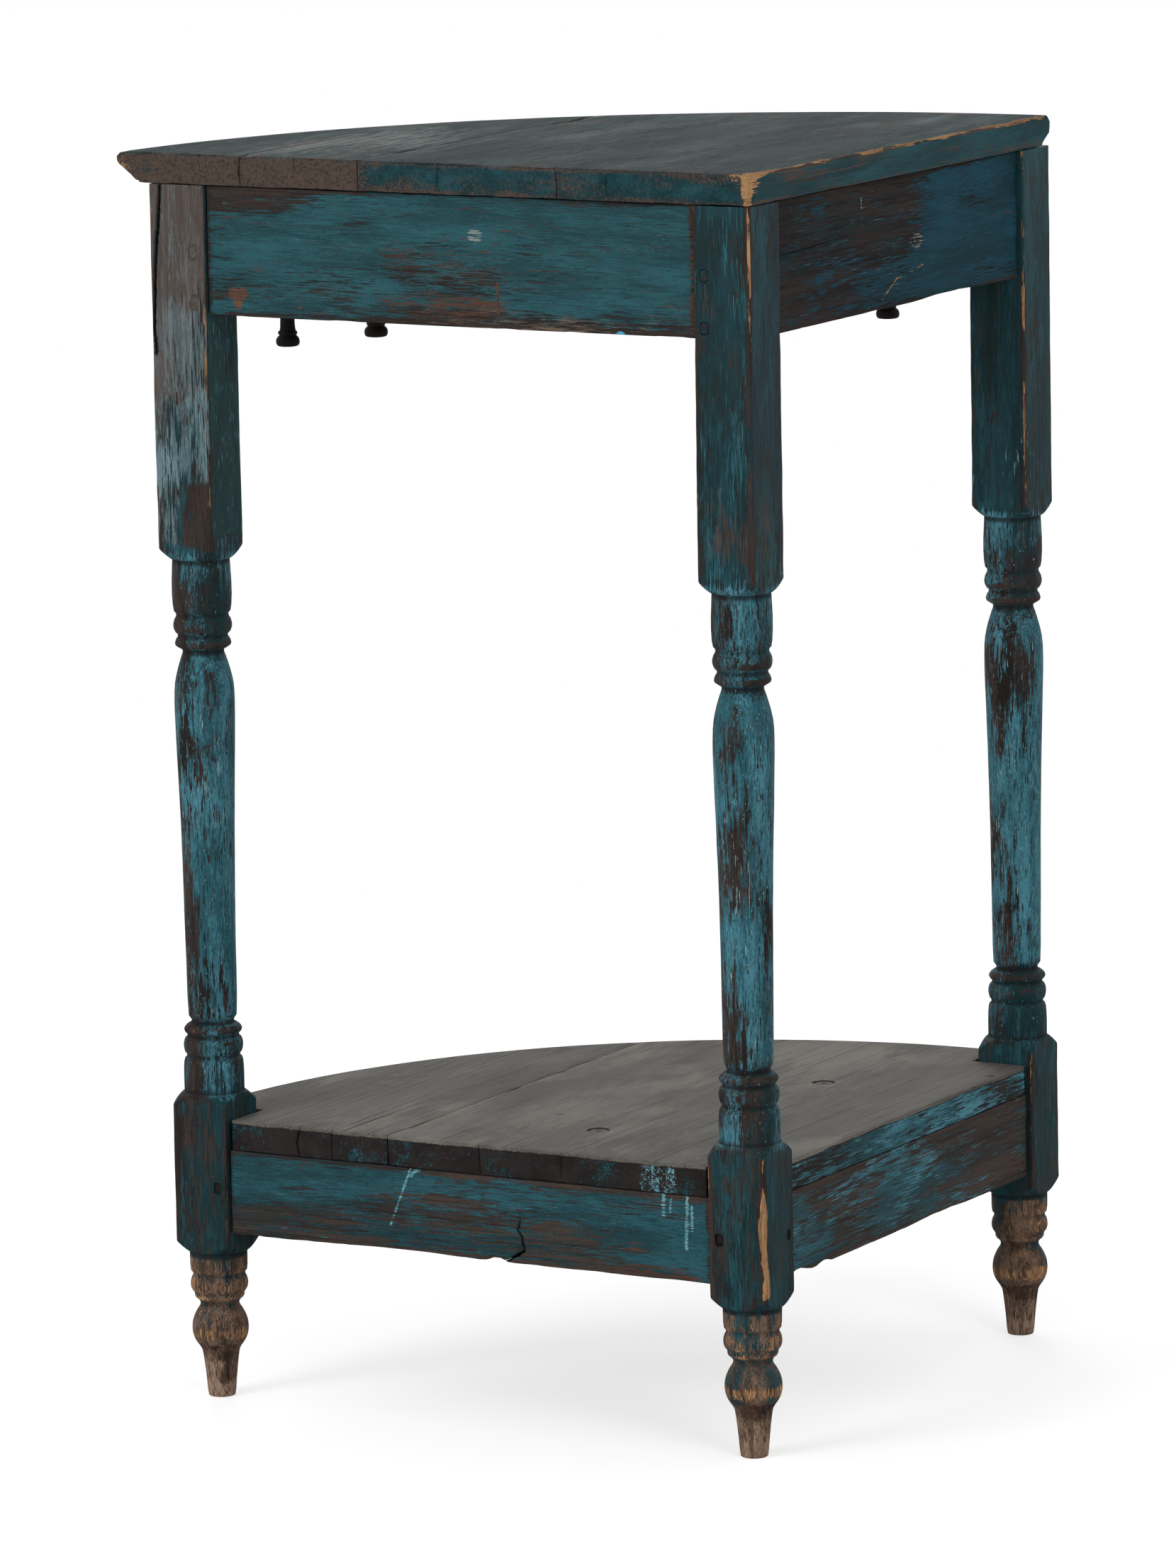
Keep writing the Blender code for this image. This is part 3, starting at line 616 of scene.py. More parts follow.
class Finish:
    """One material's node graph, written with short calls."""

    def __init__(self, name, seed, streaks=(420, 34), specular=0.13):
        self.material = bpy.data.materials.new(name)
        self.material.use_nodes = True
        self.tree = self.material.node_tree
        self.shader = self.tree.nodes["Principled BSDF"]
        self.shader.inputs["Specular IOR Level"].default_value = specular
        self.seed = seed
        self.draws = 0
        self.grain = self.node("Attribute", attribute_name="grain").outputs["Vector"]
        self.arris = self.node("Attribute", attribute_name="arris").outputs["Fac"]
        self.relief = self.node("Attribute", attribute_name="relief").outputs["Fac"]
        self.place = self.node("TexCoord").outputs["Object"]
        x, y, self.z = self.node("SeparateXYZ", {0: self.place}).outputs
        self.u = self.math("SUBTRACT", CORNER.y, y)
        self.v = self.math("SUBTRACT", CORNER.x, x)
        self.crest = self.step(self.arris, 0.72, 0.93)
        self.fibre = self.noise((1500, 75), 3)
        self.streak = self.noise(streaks, 7, 0.74, 0.35)
        self.speck = self.noise((700, 420), 3)
        self.height = self.times(self.fibre, 0.4)
        self.colour = None
        self.rough = None

    def node(self, kind, inputs=(), **settings):
        return add_node(self.tree, kind, inputs, **settings)

    def math(self, operation, first, *others):
        """The operation on the first two values, then on its result and the next value."""
        for other in others:
            first = self.node("Math", {0: first, 1: other}, operation=operation).outputs[0]
        return first

    def times(self, *values):
        return self.math("MULTIPLY", *values)

    def plus(self, *values):
        return self.math("ADD", *values)

    def vector(self, operation, first, second, output="Vector"):
        other = "Scale" if operation == "SCALE" else 1
        made = self.node("VectorMath", {0: first, other: second}, operation=operation)
        return made.outputs[output]

    def length(self, vector):
        return self.vector("LENGTH", vector, (0, 0, 0), "Value")

    def noise(self, scales, detail=4, roughness=0.6, distortion=0.0):
        """A noise value stretched by its scales, in cycles per metre."""
        self.draws += 1
        shift = self.seed * 3.7 + self.draws * 11.3
        place_in_noise = {
            "Vector": self.grain,
            "Scale": triple(scales),
            "Location": (shift, shift * 0.7, shift * 1.3),
        }
        settings = {
            "Vector": self.node("Mapping", place_in_noise).outputs[0],
            "Scale": 1,
            "Detail": detail,
            "Roughness": roughness,
            "Distortion": distortion,
        }
        return self.node("TexNoise", settings).outputs["Fac"]

    def step(self, value, low, high):
        """0 to 1 as the value goes from low to high."""
        rising = low < high
        ends = {
            "Value": value,
            "From Min": min(low, high),
            "From Max": max(low, high),
            "To Min": 0 if rising else 1,
            "To Max": 1 if rising else 0,
        }
        return self.node("MapRange", ends, interpolation_type="SMOOTHSTEP").outputs["Result"]

    def band(self, value, low, high, soft):
        """1 between two values."""
        rise = self.step(value, low - soft, low + soft)
        return self.times(rise, self.step(value, high + soft, high - soft))

    def away(self, centre, radii):
        """The distance from a place, in these radii along the walls and up."""
        away = self.vector("SUBTRACT", self.place, place(*centre))
        return self.length(self.vector("DIVIDE", away, (radii[1], radii[0], radii[2])))

    def spot(self, centre, radii, soft=0.35):
        """1 round a place, fading out unevenly."""
        uneven = self.plus(self.away(centre, radii), self.times(self.streak, 0.9))
        return self.step(uneven, 1.45 + soft, 1.45 - soft)

    def spots(self, wall, rows, deep=0.02):
        """Zones on a wall's face, each with its middle, half length, half height and share."""
        return tuple(
            (self.spot(wall(along, height), wall(long, tall, deep)), share)
            for along, height, long, tall, share in rows
        )

    def dot(self, centre, radii):
        """1 within a small clean oval round a place."""
        return self.step(self.away(centre, radii), 1.1, 0.8)

    def stroke(self, start, end, width):
        """1 along a thin run of paint from one place to another."""
        origin = place(*start)
        line = place(*end) - origin
        away = self.vector("SUBTRACT", self.place, origin)
        share = self.times(self.vector("DOT_PRODUCT", away, line, "Value"), 1 / line.length_squared)
        share = self.math("MINIMUM", self.math("MAXIMUM", share, 0.0), 1.0)
        size = self.length(self.vector("SUBTRACT", away, self.vector("SCALE", line, share)))
        uneven = self.plus(self.times(size, 1 / width), self.times(self.speck, 2.6))
        return self.step(uneven, 2.5, 1.8)

    def mix(self, factor, first, second):
        first, second = (
            value if isinstance(value, bpy.types.NodeSocket) else (*value, 1)
            for value in (first, second)
        )
        return self.node("Mix", {0: factor, 6: first, 7: second}, data_type="RGBA").outputs[2]

    def mix_number(self, factor, first, second):
        return self.node("Mix", {0: factor, 2: first, 3: second}, data_type="FLOAT").outputs[0]

    def tone(self, colours, scales):
        """A colour that wanders between two, in patches and in fine grain."""
        first, second = (seen(colour) for colour in colours)
        patches = self.times(self.noise(scales, 5, 0.66), 0.5)
        value = self.plus(patches, self.times(self.fibre, 0.32), self.times(self.speck, 0.18))
        return self.mix(self.step(value, 0.43, 0.57), first, second)

    def paint(self, mask, colour, rough=None):
        """One colour where the mask is 1."""
        self.colour = self.mix(mask, self.colour, seen(colour))
        if rough:
            self.rough = self.mix_number(mask, self.rough, rough)

    def wood(self, colours, line_colour, lines=0.5, scales=(110, 7)):
        """The wood under everything, with its dark grain lines."""
        self.colour = self.tone(colours, scales)
        line = self.noise((520, 7), 5, 0.6, 0.3)
        mask = self.times(self.step(line, 0.53, 0.6), lines)
        self.paint(mask, line_colour)
        self.paint(self.times(self.step(self.fibre, 0.52, 0.66), lines * 0.7), line_colour)
        self.height = self.plus(self.height, self.times(mask, -0.5))
        self.rough = 0.74

    def layer(
        self, colours, share, zones=(), blend=(9, 10, 6), patch=(26, 9), edge=0.007,
        strength=1.0, thick=0.5, rough=0.58, arris=0.0, groove=0.0, scales=(60, 12),
    ):
        """A coat that covers a share of the surface, with other shares in the zones.

        The blend weighs patches, streaks and fibres. Arris and groove add to the coat there.
        """
        weights = [part / sum(blend) for part in blend]
        spread = NOISE_SPREAD * math.sqrt(sum(weight**2 for weight in weights))

        def level(wanted):
            return -NORMAL.inv_cdf(min(max(wanted, 0.0002), 0.9998)) * spread

        parts = (self.noise(patch, 5, 0.62, 0.2), self.streak, self.fibre)
        value = self.plus(*(self.times(*pair) for pair in zip(parts, weights)))
        for mask, there in zones:
            value = self.plus(value, self.times(mask, level(share) - level(there)))
        for source, amount in ((self.arris, arris), (self.relief, -groove)):
            if amount:
                value = self.plus(value, self.times(source, amount * spread))
        limit = 0.5 + level(share)
        mask = self.step(value, limit - edge, limit + edge)
        if strength < 1:
            mask = self.times(mask, strength)
        self.colour = self.mix(mask, self.colour, self.tone(colours, scales))
        self.height = self.plus(self.height, self.times(mask, thick))
        self.rough = self.mix_number(mask, self.rough, rough)

    def mark(self, colours, zone, share, *settings, **more):
        """A coat that is almost nowhere but in one zone."""
        self.layer(colours, 0.0005, ((zone, share),), *settings, **more)

    def groove_dirt_and_shade(self, strength):
        """Dirt and painted shade that stay in the grooves of the turning."""
        mask = self.times(self.step(self.relief, -0.25, -1.3), strength)
        self.paint(mask, BLACK_BROWN, 0.8)

    def fleck(self, colour, limit, zone=1.0):
        """Small chips and spatters."""
        self.paint(self.times(self.step(self.speck, limit, limit + 0.02), zone), colour)

    def done(self, bump=0.6, distance=0.00045):
        shine = self.plus(self.rough, self.times(self.math("SUBTRACT", self.speck, 0.5), 0.35))
        relief = {"Strength": bump, "Distance": distance, "Height": self.height}
        normal = self.node("Bump", relief).outputs[0]
        looks = {"Base Color": self.colour, "Roughness": shine, "Normal": normal}
        set_inputs(self.tree, self.shader, looks)
        return self.material


WORN_SIDE = (0.476, -0.863, 0)  # the side of the turned shafts that lost most paint


def leg_finish(name, seed, upper_coat, upper_share, upper_pale, marks):
    """Turquoise and teal coats on a leg, worn off at its arrises, beads and foot."""
    f = Finish(name + "_paint", seed)
    f.wood(BROWNS, BLACK_BROWN)
    turned = f.band(f.z, SHAFT_BOTTOM - 0.004, SHAFT_TOP + 0.004, 0.004)
    taper = f.band(f.z, SHAFT_BOTTOM + 0.046, SHAFT_TOP - 0.062, 0.006)
    foot = f.step(f.z, FOOT_LENGTH + 0.002, FOOT_LENGTH - 0.004)
    bulb = f.band(f.z, 0.0355, 0.045, 0.0035)
    ankle = f.band(f.z, 0.024, 0.035, 0.003)
    shin = f.band(f.z, 0.01, 0.024, 0.003)
    toe = f.step(f.z, 0.013, 0.007)
    tip = f.step(f.z, 0.036, 0.031)
    beads = f.times(foot, f.step(f.z, 0.048, 0.056))
    upper = f.step(f.z, SHAFT_TOP + 0.004, SHAFT_TOP + 0.012)
    neck = f.band(f.z, SHAFT_TOP - 0.012, SHAFT_TOP + 0.06, 0.02)
    facing = f.vector("DOT_PRODUCT", f.grain, WORN_SIDE, "Value")
    side = f.times(f.step(facing, -0.005, 0.011), turned)
    low_block = f.band(f.z, FOOT_LENGTH, SHAFT_BOTTOM, 0.002)
    crests = f.times(f.crest, f.step(f.z, 0.09, 0.1))
    crown = f.times(f.step(f.relief, 0.25, 1.0), turned)
    f.mark(FOOT_STAINS, foot, 0.9, thick=0.1, rough=0.7, scales=(120, 30))
    f.layer(INKS, 0.72, ((turned, 0.72), (foot, 0.26), (side, 0.5)), patch=(22, 8),
            arris=-1.5, groove=0.4)
    f.layer(TEALS, 0.5, ((turned, 0.42), (foot, 0.36), (upper, upper_share), (side, 0.3)),
            patch=(30, 9), arris=-1.5)
    f.layer(upper_coat, 0.001, ((upper, upper_share * 0.6),), patch=(40, 8), arris=-1.0)
    zones = ((turned, 0.28), (taper, 0.5), (side, 0.25), (upper, upper_pale), (neck, 0.18))
    f.layer(BLUES, 0.05, zones, (15, 21, 14), (34, 12), arris=-1.0, rough=0.62)
    f.layer(PALE_BLUES, 0.012, ((taper, 0.16), (neck, 0.05)), (3, 4, 3), (50, 20), rough=0.62)
    f.layer(DARK_BROWNS, 0.12, ((taper, 0.22), (side, 0.46), (low_block, 0.2)), (19, 19, 12),
            (46, 16), thick=-0.3, rough=0.68)
    f.mark(DARKS, turned, 0.21, (7, 18, 25), (60, 18), 0.005, thick=-0.4, rough=0.7)
    f.layer(SCRATCH_BLUES, 0.0005, ((taper, 0.045), (neck, 0.02)), (2, 3, 5), (40, 16), 0.004,
            thick=0.3, rough=0.62)
    f.layer(BARE, 0.0008, ((crests, 0.1), (beads, 0.11)), (9, 5, 6), (70, 30), groove=-1.0,
            thick=-0.5, rough=0.7)
    f.layer(BARE, 0.0003, ((bulb, 0.52),), (11, 24, 15), (50, 26), thick=-0.5, rough=0.74,
            scales=(260, 30))
    f.layer((FOOT_DARK, FOOT_WOOD), 0.0002, ((tip, 0.995),), (4, 3, 3), (60, 30), thick=-0.2,
            rough=0.78, scales=(160, 40))
    f.layer(FOOT_PALES, 0.0002, ((ankle, 0.3), (shin, 0.48), (toe, 0.85)), (5, 8, 7), (80, 30),
            thick=-0.1, rough=0.78, scales=(200, 40))
    f.layer((UMBER, FOOT_DARK), 0.0002, ((ankle, 0.42), (shin, 0.2), (toe, 0.06)), (3, 4, 3),
            (70, 20), thick=-0.2, rough=0.78)
    f.layer(BROWNS, 0.001, ((crown, 0.4),), (4, 3, 3), (70, 40), thick=-0.2, rough=0.66)
    marks(f)
    # Dirt and painted shade in the grooves, weaker on the foot.
    f.groove_dirt_and_shade(f.mix_number(foot, 0.8, 0.4))
    # Pale turquoise flecks on the turned parts: partly paint chips, partly painted highlight specks.
    f.fleck(PALE_TURQUOISE, 0.69, turned)
    return f.done()


def corner_leg_marks(f):
    """Patches on the corner leg's upper block, painted shade on that block's face towards the left
    wall, its two bare strips and a rubbed ring.
    """
    block = f.step(f.z, SHAFT_TOP + 0.008, SHAFT_TOP + 0.02)
    shaded = f.times(block, f.step(f.u, 0.004, 0.001))
    ahead = f.step(f.plus(f.u, f.v), 0.012, 0.009)
    top_strip = f.times(f.crest, ahead, f.band(f.z, 0.64, 0.745, 0.02))
    ring = f.spot((0.004, 0.03, 0.4745), (0.006, 0.01, 0.0035))
    f.mark((BROWN, GREY_UMBER), block, 0.15, (23, 16, 11), (24, 9), thick=-0.3,
            rough=0.72)
    f.mark(BLOCK_BLUES, block, 0.1, (4, 3, 3), (34, 12), thick=0.2, rough=0.62)
    # Painted shade: ink teal over the upper block's face towards the left wall.
    f.mark(SHADED_TEALS, shaded, 0.45, (10, 9, 6), (26, 9), 0.02, 0.8, thick=0.1)
    width = f.plus(f.times(f.step(f.z, 0.172, 0.108), 0.0042), 0.0022)
    uneven = f.times(f.math("SUBTRACT", 0.5, f.noise((90, 26), 4, 0.55)), 0.013)
    u_side = f.step(f.plus(f.u, uneven), 0.003, 0.0018)
    v_side = f.step(f.math("DIVIDE", f.plus(f.v, uneven), width), 1.1, 0.8)
    strip = f.times(u_side, v_side, f.band(f.z, 0.0985, 0.186, 0.002))
    f.layer(BARE, 0.0003, ((strip, 0.93),), (7, 9, 4), (60, 22), thick=-0.7, rough=0.74,
            scales=(300, 24))
    f.layer((UMBER, FOOT_WOOD), 0.0003, ((strip, 0.14),), (1, 3, 1), (60, 22), thick=-0.3,
            rough=0.74)
    f.mark(BARE, top_strip, 0.45, (5, 2, 3), (90, 40), thick=-0.5, rough=0.72)
    f.mark(BARE, ring, 0.9, thick=-0.4)


def right_leg_marks(f):
    """The dry grey upper block of the right leg, its split and its rubbed inner arris."""
    wall = f.step(f.v, 0.004, 0.001)
    high = f.times(wall, f.step(f.z, 0.655, 0.69))
    middle = f.times(wall, f.band(f.z, 0.62, 0.67, 0.014))
    low = f.times(wall, f.band(f.z, 0.562, 0.62, 0.01))
    bottom = f.times(wall, f.band(f.z, 0.52, 0.562, 0.008))
    inner = f.times(f.step(f.v, 0.001, 0.004), f.step(f.z, 0.524, 0.532))
    near = f.step(f.u, RIGHT_SIDE - HALF_SQUARE, RIGHT_SIDE - LEG_SQUARE)
    rim = f.times(f.step(f.v, 0.005, 0.0025), near, f.crest, f.band(f.z, 0.54, 0.68, 0.01))
    f.mark(INNER_TEALS, inner, 0.86, (6, 9, 5), (40, 9), 0.02, thick=0.1)
    f.layer(DRY_WOODS, 0.0005, ((high, 0.97), (middle, 0.85), (low, 0.6), (bottom, 0.45)),
            (6, 9, 5), (30, 8), 0.02, thick=-0.2, rough=0.76, scales=(200, 14))
    f.layer(DRY_TEALS, 0.0005, ((high, 0.1), (middle, 0.4), (low, 0.4), (bottom, 0.15)),
            (6, 9, 5), (26, 8), 0.02, thick=0.1, rough=0.72, scales=(200, 14))
    f.layer(DRY_BLUES, 0.0005, ((middle, 0.08), (low, 0.58), (bottom, 0.22)), (9, 9, 7), (20, 9),
            thick=0.3, rough=0.68)
    f.layer(BROWNS, 0.0005, ((high, 0.1), (middle, 0.06), (low, 0.09), (bottom, 0.4)),
            (5, 3, 2), (34, 12), thick=-0.3, rough=0.74)
    f.mark((GREY_TEAL, PALE_TURQUOISE), inner, 0.06, (1, 2, 7), (50, 20), 0.004,
            thick=0.2)
    f.mark(BARE, rim, 0.45, (5, 2, 3), (90, 30), thick=-0.5, rough=0.72)
    for start, end in zip(SPLIT_PATH, SPLIT_PATH[1:]):
        split = f.stroke(on_right(*start, 0), on_right(*end, 0), 0.0016)
        f.layer((INK_TEAL, BLACK_BROWN), 0.0003, ((split, 0.97),), thick=-0.8, rough=0.85)


def left_leg_marks(f):
    """A rubbed arris that widens at the foot of the left leg's upper block."""
    strip = f.times(f.crest, f.step(f.u, 0.006, 0.003), f.band(f.z, 0.52, 0.7, 0.012))
    f.mark(BARE, strip, 0.5, (5, 2, 3), (90, 30), thick=-0.6, rough=0.72)


def rail_wood(name, seed, wood=BROWNS, specular=0.13):
    """The start of a rail's finish, its wood alone."""
    f = Finish(name + "_paint", seed, (680, 32), specular)
    f.wood(wood, BLACK_BROWN)
    return f


def rail_coats(f, colours, share, zones=(), blue=0.05, blues=(), dashes=0.05, worn=()):
    """Teal on a rail, rubbed through in fine streaks along the grain."""
    f.layer(colours, share, zones, arris=-1.6)
    f.layer(INKS, 0.2, (), (10, 7, 3), (20, 6), 0.03, 0.5, thick=0.1)
    f.layer(BLUES, blue, blues, (8, 10, 7), (40, 14), rough=0.62)
    f.layer(DASH_BROWNS, dashes, worn, (4, 9, 7), (60, 14), 0.005, thick=-0.4, rough=0.7)
    f.layer(DARK_BROWNS, 0.05, (), (8, 15, 27), (44, 12), 0.004, thick=-0.3, rough=0.7)
    f.layer(FLECK_TEALS, 0.02, (), (8, 15, 27), (44, 12), 0.004, thick=0.1, rough=0.66)


def upper_right_finish(name):
    f = rail_wood(name, 11)
    patch, shadow = f.spots(
        on_right, ((0.185, 0.7, 0.07, 0.018, 0.6), (0.345, 0.738, 0.06, 0.012, 0.35))
    )
    lower_half = f.times(f.step(f.z, 0.682, 0.668), f.band(f.u, 0.03, 0.27, 0.02))
    worn = f.spots(
        on_right, ((0.205, 0.676, 0.045, 0.008, 0.45), (0.18, 0.7, 0.08, 0.02, 0.16))
    )
    rail_coats(
        f, UPPER_TEALS, 0.88, (patch, (lower_half, 0.62), shadow), 0.025,
        ((f.band(f.u, 0.352, 0.365, 0.004), 0.1),), 0.07, (*worn, (f.step(f.u, 0.043, 0.04), 0.6)),
    )
    lower = f.times(f.step(f.z, 0.69, 0.668), f.band(f.u, 0.045, 0.29, 0.03))
    f.mark(RUBBED_BROWNS, lower, 0.2, (6, 7, 7), (40, 12), 0.005, thick=-0.2,
            rough=0.72)
    rust = (
        (0.35, 0.6775, 0.0042, 0.0044, 0.88),
        (0.344, 0.6775, 0.0042, 0.0044, 0.88),
        (0.347, 0.6725, 0.0034, 0.0056, 0.88),
    )
    for zone in f.spots(on_right, rust, 0.01):
        f.layer(RUST_SPOTS, 0.0005, (zone,), (4, 3, 3), thick=-0.3)
    runs = (((0.304, 0.686), (0.304, 0.669), 0.0014), ((0.1695, 0.69), (0.169, 0.664), 0.001))
    for start, end, width in runs:
        run = f.stroke(on_right(*start), on_right(*end), width)
        f.mark((RUST, BROWN), run, 0.6, thick=0.0)
    scuff = f.spot(on_right(0.184, 0.7175), on_right(0.006, 0.006, 0.01), 0.5)
    f.mark((GREY_TEAL, PALE), scuff, 0.5, (3, 3, 4), thick=0.0)
    speck = f.spot(on_right(0.0875, 0.664), on_right(0.003, 0.0018, 0.01), 0.3)
    f.mark(SPECK_BLUES, speck, 0.9, thick=0.3)
    f.fleck(GREY_TEAL, 0.72)
    return f.done()


def upper_left_finish(name):
    f = rail_wood(name, 12, LEFT_WOODS, 0.05)
    patches = (
        (0.31, 0.702, 0.085, 0.06, 0.93),
        (0.06, 0.735, 0.05, 0.012, 0.6),
        (0.2, 0.676, 0.06, 0.014, 0.7),
    )
    rail_coats(f, LEFT_TEALS, 0.32, f.spots(on_left, patches), 0.004, dashes=0.03)
    scratch = f.stroke(on_left(0.146, 0.732), on_left(0.147, 0.712), 0.0014)
    scuff = f.spots(on_left, ((0.215, 0.7, 0.01, 0.006, 0.4),))
    f.layer((GREY_TEAL, PALE), 0.004, ((scratch, 0.35), *scuff), (3, 3, 4), (60, 20), thick=0.0)
    line = ((0.17, 0.669), (0.19, 0.68), (0.225, 0.685))
    for start, end in zip(line, line[1:]):
        run = f.stroke(on_left(*start), on_left(*end), 0.0007)
        f.mark(BARE, run, 0.6, thick=-0.3)
    return f.done()


def lower_right_finish(name):
    f = rail_wood(name, 13, LOWER_WOODS)
    patches = (
        (0.33, 0.112, 0.06, 0.014, 0.18),
        (0.14, 0.145, 0.06, 0.014, 0.8),
        (0.06, 0.125, 0.03, 0.03, 0.85),
        (0.3, 0.146, 0.07, 0.014, 0.8),
    )
    worn = ((0.075, 0.108, 0.03, 0.006, 0.5), (0.088, 0.122, 0.012, 0.004, 0.5))
    zones = f.spots(on_right, patches)
    rail_coats(f, LOWER_TEALS, 0.6, zones, 0.03, worn=f.spots(on_right, worn))
    drips = (
        ((0.2415, 0.156), (0.256, 0.121), 0.001),
        ((0.236, 0.156), (0.242, 0.152), 0.0016),
        ((0.053, 0.156), (0.054, 0.125), 0.0015),
        ((0.05, 0.15), (0.05, 0.136), 0.0012),
        ((0.069, 0.156), (0.069, 0.143), 0.0015),
        ((0.064, 0.154), (0.0645, 0.146), 0.001),
    )
    for start, end, width in drips:
        run = f.stroke(on_right(*start), on_right(*end), width)
        f.layer(PALE_BLUES, 0.0003, ((run, 0.72),), (3, 3, 4), strength=0.9, thick=0.3)
    return f.done()


def lower_left_finish(name):
    f = rail_wood(name, 14, LOWER_WOODS)
    zones = f.spots(on_left, ((0.06, 0.13, 0.04, 0.03, 0.65), (0.3, 0.13, 0.05, 0.03, 0.35)))
    blues = f.spots(on_left, ((0.16, 0.145, 0.08, 0.012, 0.42),))
    rail_coats(f, LOWER_TEALS, 0.5, zones, 0.16, blues, 0.08)
    f.fleck(GREY_TEAL, 0.7)
    return f.done()


def front_rail_finish(name):
    seed, share = {"upper_rail_front": (15, 0.8), "lower_rail_front": (16, 0.6)}[name]
    f = rail_wood(name, seed)
    rail_coats(f, TEALS, share)
    return f.done()


def top_finish(name, seed, end_share):
    """Grey-teal on the top, bare or dark end grain on one edge and chipped arrises."""
    f = Finish(name + "_paint", seed, (620, 16), 0.08)
    above = f.step(f.z, STAND_HEIGHT - 0.0035, STAND_HEIGHT - 0.0008)
    below = f.step(f.z, STAND_HEIGHT - 0.0008, STAND_HEIGHT - 0.0035)
    end = f.times(f.step(f.v, 0.004, 0.001), below)
    side = f.times(f.step(f.u, 0.004, 0.001), below)
    scuffed = f.times(f.spot((0.305, 0.095, STAND_HEIGHT), (0.055, 0.12, 0.02), 0.9), above)
    rubbed = f.step(f.arris, 0.25, 0.6)
    wall_arris = f.times(rubbed, f.step(f.u, 0.006, 0.003), f.step(f.z, 0.752, 0.756))
    corner = f.spot((0.001, 0.001, 0.757), (0.01, 0.016, 0.012), 0.4)
    far_end = f.spot((0.428, 0.0, 0.748), (0.012, 0.03, 0.012), 0.4)
    end_corner = f.spot((0.0, 0.0, 0.75), (0.0045, 0.0045, 0.02), 0.3)
    f.wood(TOP_WOODS, BLACK_BROWN, 0.45, (150, 7))
    f.layer(DARKS, 0.12, ((end, 0.14),), (3, 2, 5), (260, 300, 60), 0.012, 0.6, thick=-0.5)
    f.layer(TEALS, 0.75, ((end, end_share), (side, 0.86), (above, 0.6)), (18, 17, 15),
            (24, 90, 8), 0.01, arris=-1.2)
    f.layer(BROWNS, 0.04, ((end, 0.16),), (1, 2, 2), (90, 160, 30), 0.005, thick=-0.3)
    f.layer(INKS, 0.25, ((end, end_share * 0.55),), (5, 3, 2), (30, 50, 14), 0.03, 0.7)
    f.layer(TOP_SLATES, 0.001, ((above, 0.88),), (21, 19, 10), (14, 60, 6), 0.02, thick=0.1,
            rough=0.8, arris=-1.0)
    f.mark(PALE_SLATES, above, 0.25, (2, 2, 1), (22, 60, 5), 0.02, thick=0.1,
            rough=0.8)
    f.layer(SCUFF_GREYS, 0.0003, ((above, 0.03), (scuffed, 0.1)), (8, 31, 11), (30, 60, 7),
            0.014, thick=0.0, rough=0.7)
    f.layer((GREY_WOOD, PALE), 0.0003, ((above, 0.006), (scuffed, 0.06)), (3, 5, 2), (34, 60, 9),
            0.008, thick=0.0, rough=0.7)
    f.mark(BROWNS, above, 0.05, (7, 8, 5), (40, 60, 12), thick=-0.2, arris=1.0)
    zones = ((wall_arris, 0.3), (corner, 0.4), (far_end, 0.3), (f.crest, 0.02), (end_corner, 0.45))
    f.layer(BARE, 0.0006, zones, (5, 2, 3), (110, 34), thick=-0.5, rough=0.74)
    f.fleck(TOP_FLECK, 0.72, above)
    return f.done(0.55)


def shelf_finish(name, seed):
    """Bare grey wood on the shelf, with blue and dirt left on its edges."""
    f = Finish(name + "_wood", seed)
    side = f.step(f.z, SHELF_TOP - 0.0008, SHELF_TOP - 0.0035)
    end = f.times(side, f.step(f.v, 0.0075, 0.0045))
    wall = f.times(side, f.step(f.u, 0.0075, 0.0045))
    f.wood(SHELF_WOODS, DARK_GRAIN, 0.42, (26, 8))
    f.layer(SHELF_PALES, 0.36, (), (7, 2, 1), (11, 5), 0.04, thick=0.0, rough=0.72)
    f.layer((DARK_GRAIN, GREY_BROWN), 0.18, (), (7, 2, 1), (9, 4), 0.05, 0.7, 0.0, 0.72)
    f.layer(SHELF_STREAKS, 0.02, (), (1, 7, 2), (30, 8), 0.012, thick=0.0, rough=0.72)
    line = f.noise((700, 3.5), 2, 0.5, 0.4)
    mask = f.times(f.step(line, 0.665, 0.7), 0.8)
    f.paint(mask, CRACK_LINE)
    f.height = f.plus(f.height, f.times(mask, -0.8))
    for nail_hole in ((0.194, 0.1005), (0.0084, 0.31), (0.235, 0.19)):
        hole = f.dot((*nail_hole, SHELF_TOP), (0.0036, 0.003, 0.01))
        f.layer(DARKS, 0.0003, ((hole, 0.995),), thick=-0.8)
    for plug in ("shelf_plug_1", "shelf_plug_2"):
        low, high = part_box(plug)
        away = f.vector("SUBTRACT", f.place, (low + high) / 2)
        size = f.length(f.vector("MULTIPLY", away, (1, 1, 0)))
        half = (high.x - low.x) / 2
        ring = f.band(size, half - 0.0007, half + 0.001, 0.0003)
        f.layer((BLACK_BROWN, DARK_GRAIN), 0.0003, ((ring, 0.995),), thick=-0.5)
    f.layer(DARKS, 0.004, ((side, 0.985),), (10, 9, 6), thick=-0.1, rough=0.7)
    f.layer(TEALS, 0.0008, ((end, 0.26), (wall, 0.75)), (9, 6, 5), (34, 12), rough=0.6)
    f.layer(BLUES, 0.0004, ((end, 0.03), (wall, 0.5)), (9, 9, 7), (40, 14), rough=0.6)
    drip = f.times(f.band(f.u, 0.06, 0.085, 0.003), end)
    f.layer(PALE_BLUES, 0.0004, ((drip, 0.27),), (3, 3, 4), (300, 60, 40), thick=0.3)
    return f.done(0.5, 0.0004)


def small_wood(name, seed, colours, line, coat=None, share=0.0):
    f = Finish(name, seed)
    f.wood(colours, line)
    if coat:
        f.layer(coat, share, (), (4, 3, 3), (200, 60))
    # Dirt and painted shade in the grooves.
    f.groove_dirt_and_shade(0.6)
    return f.done()


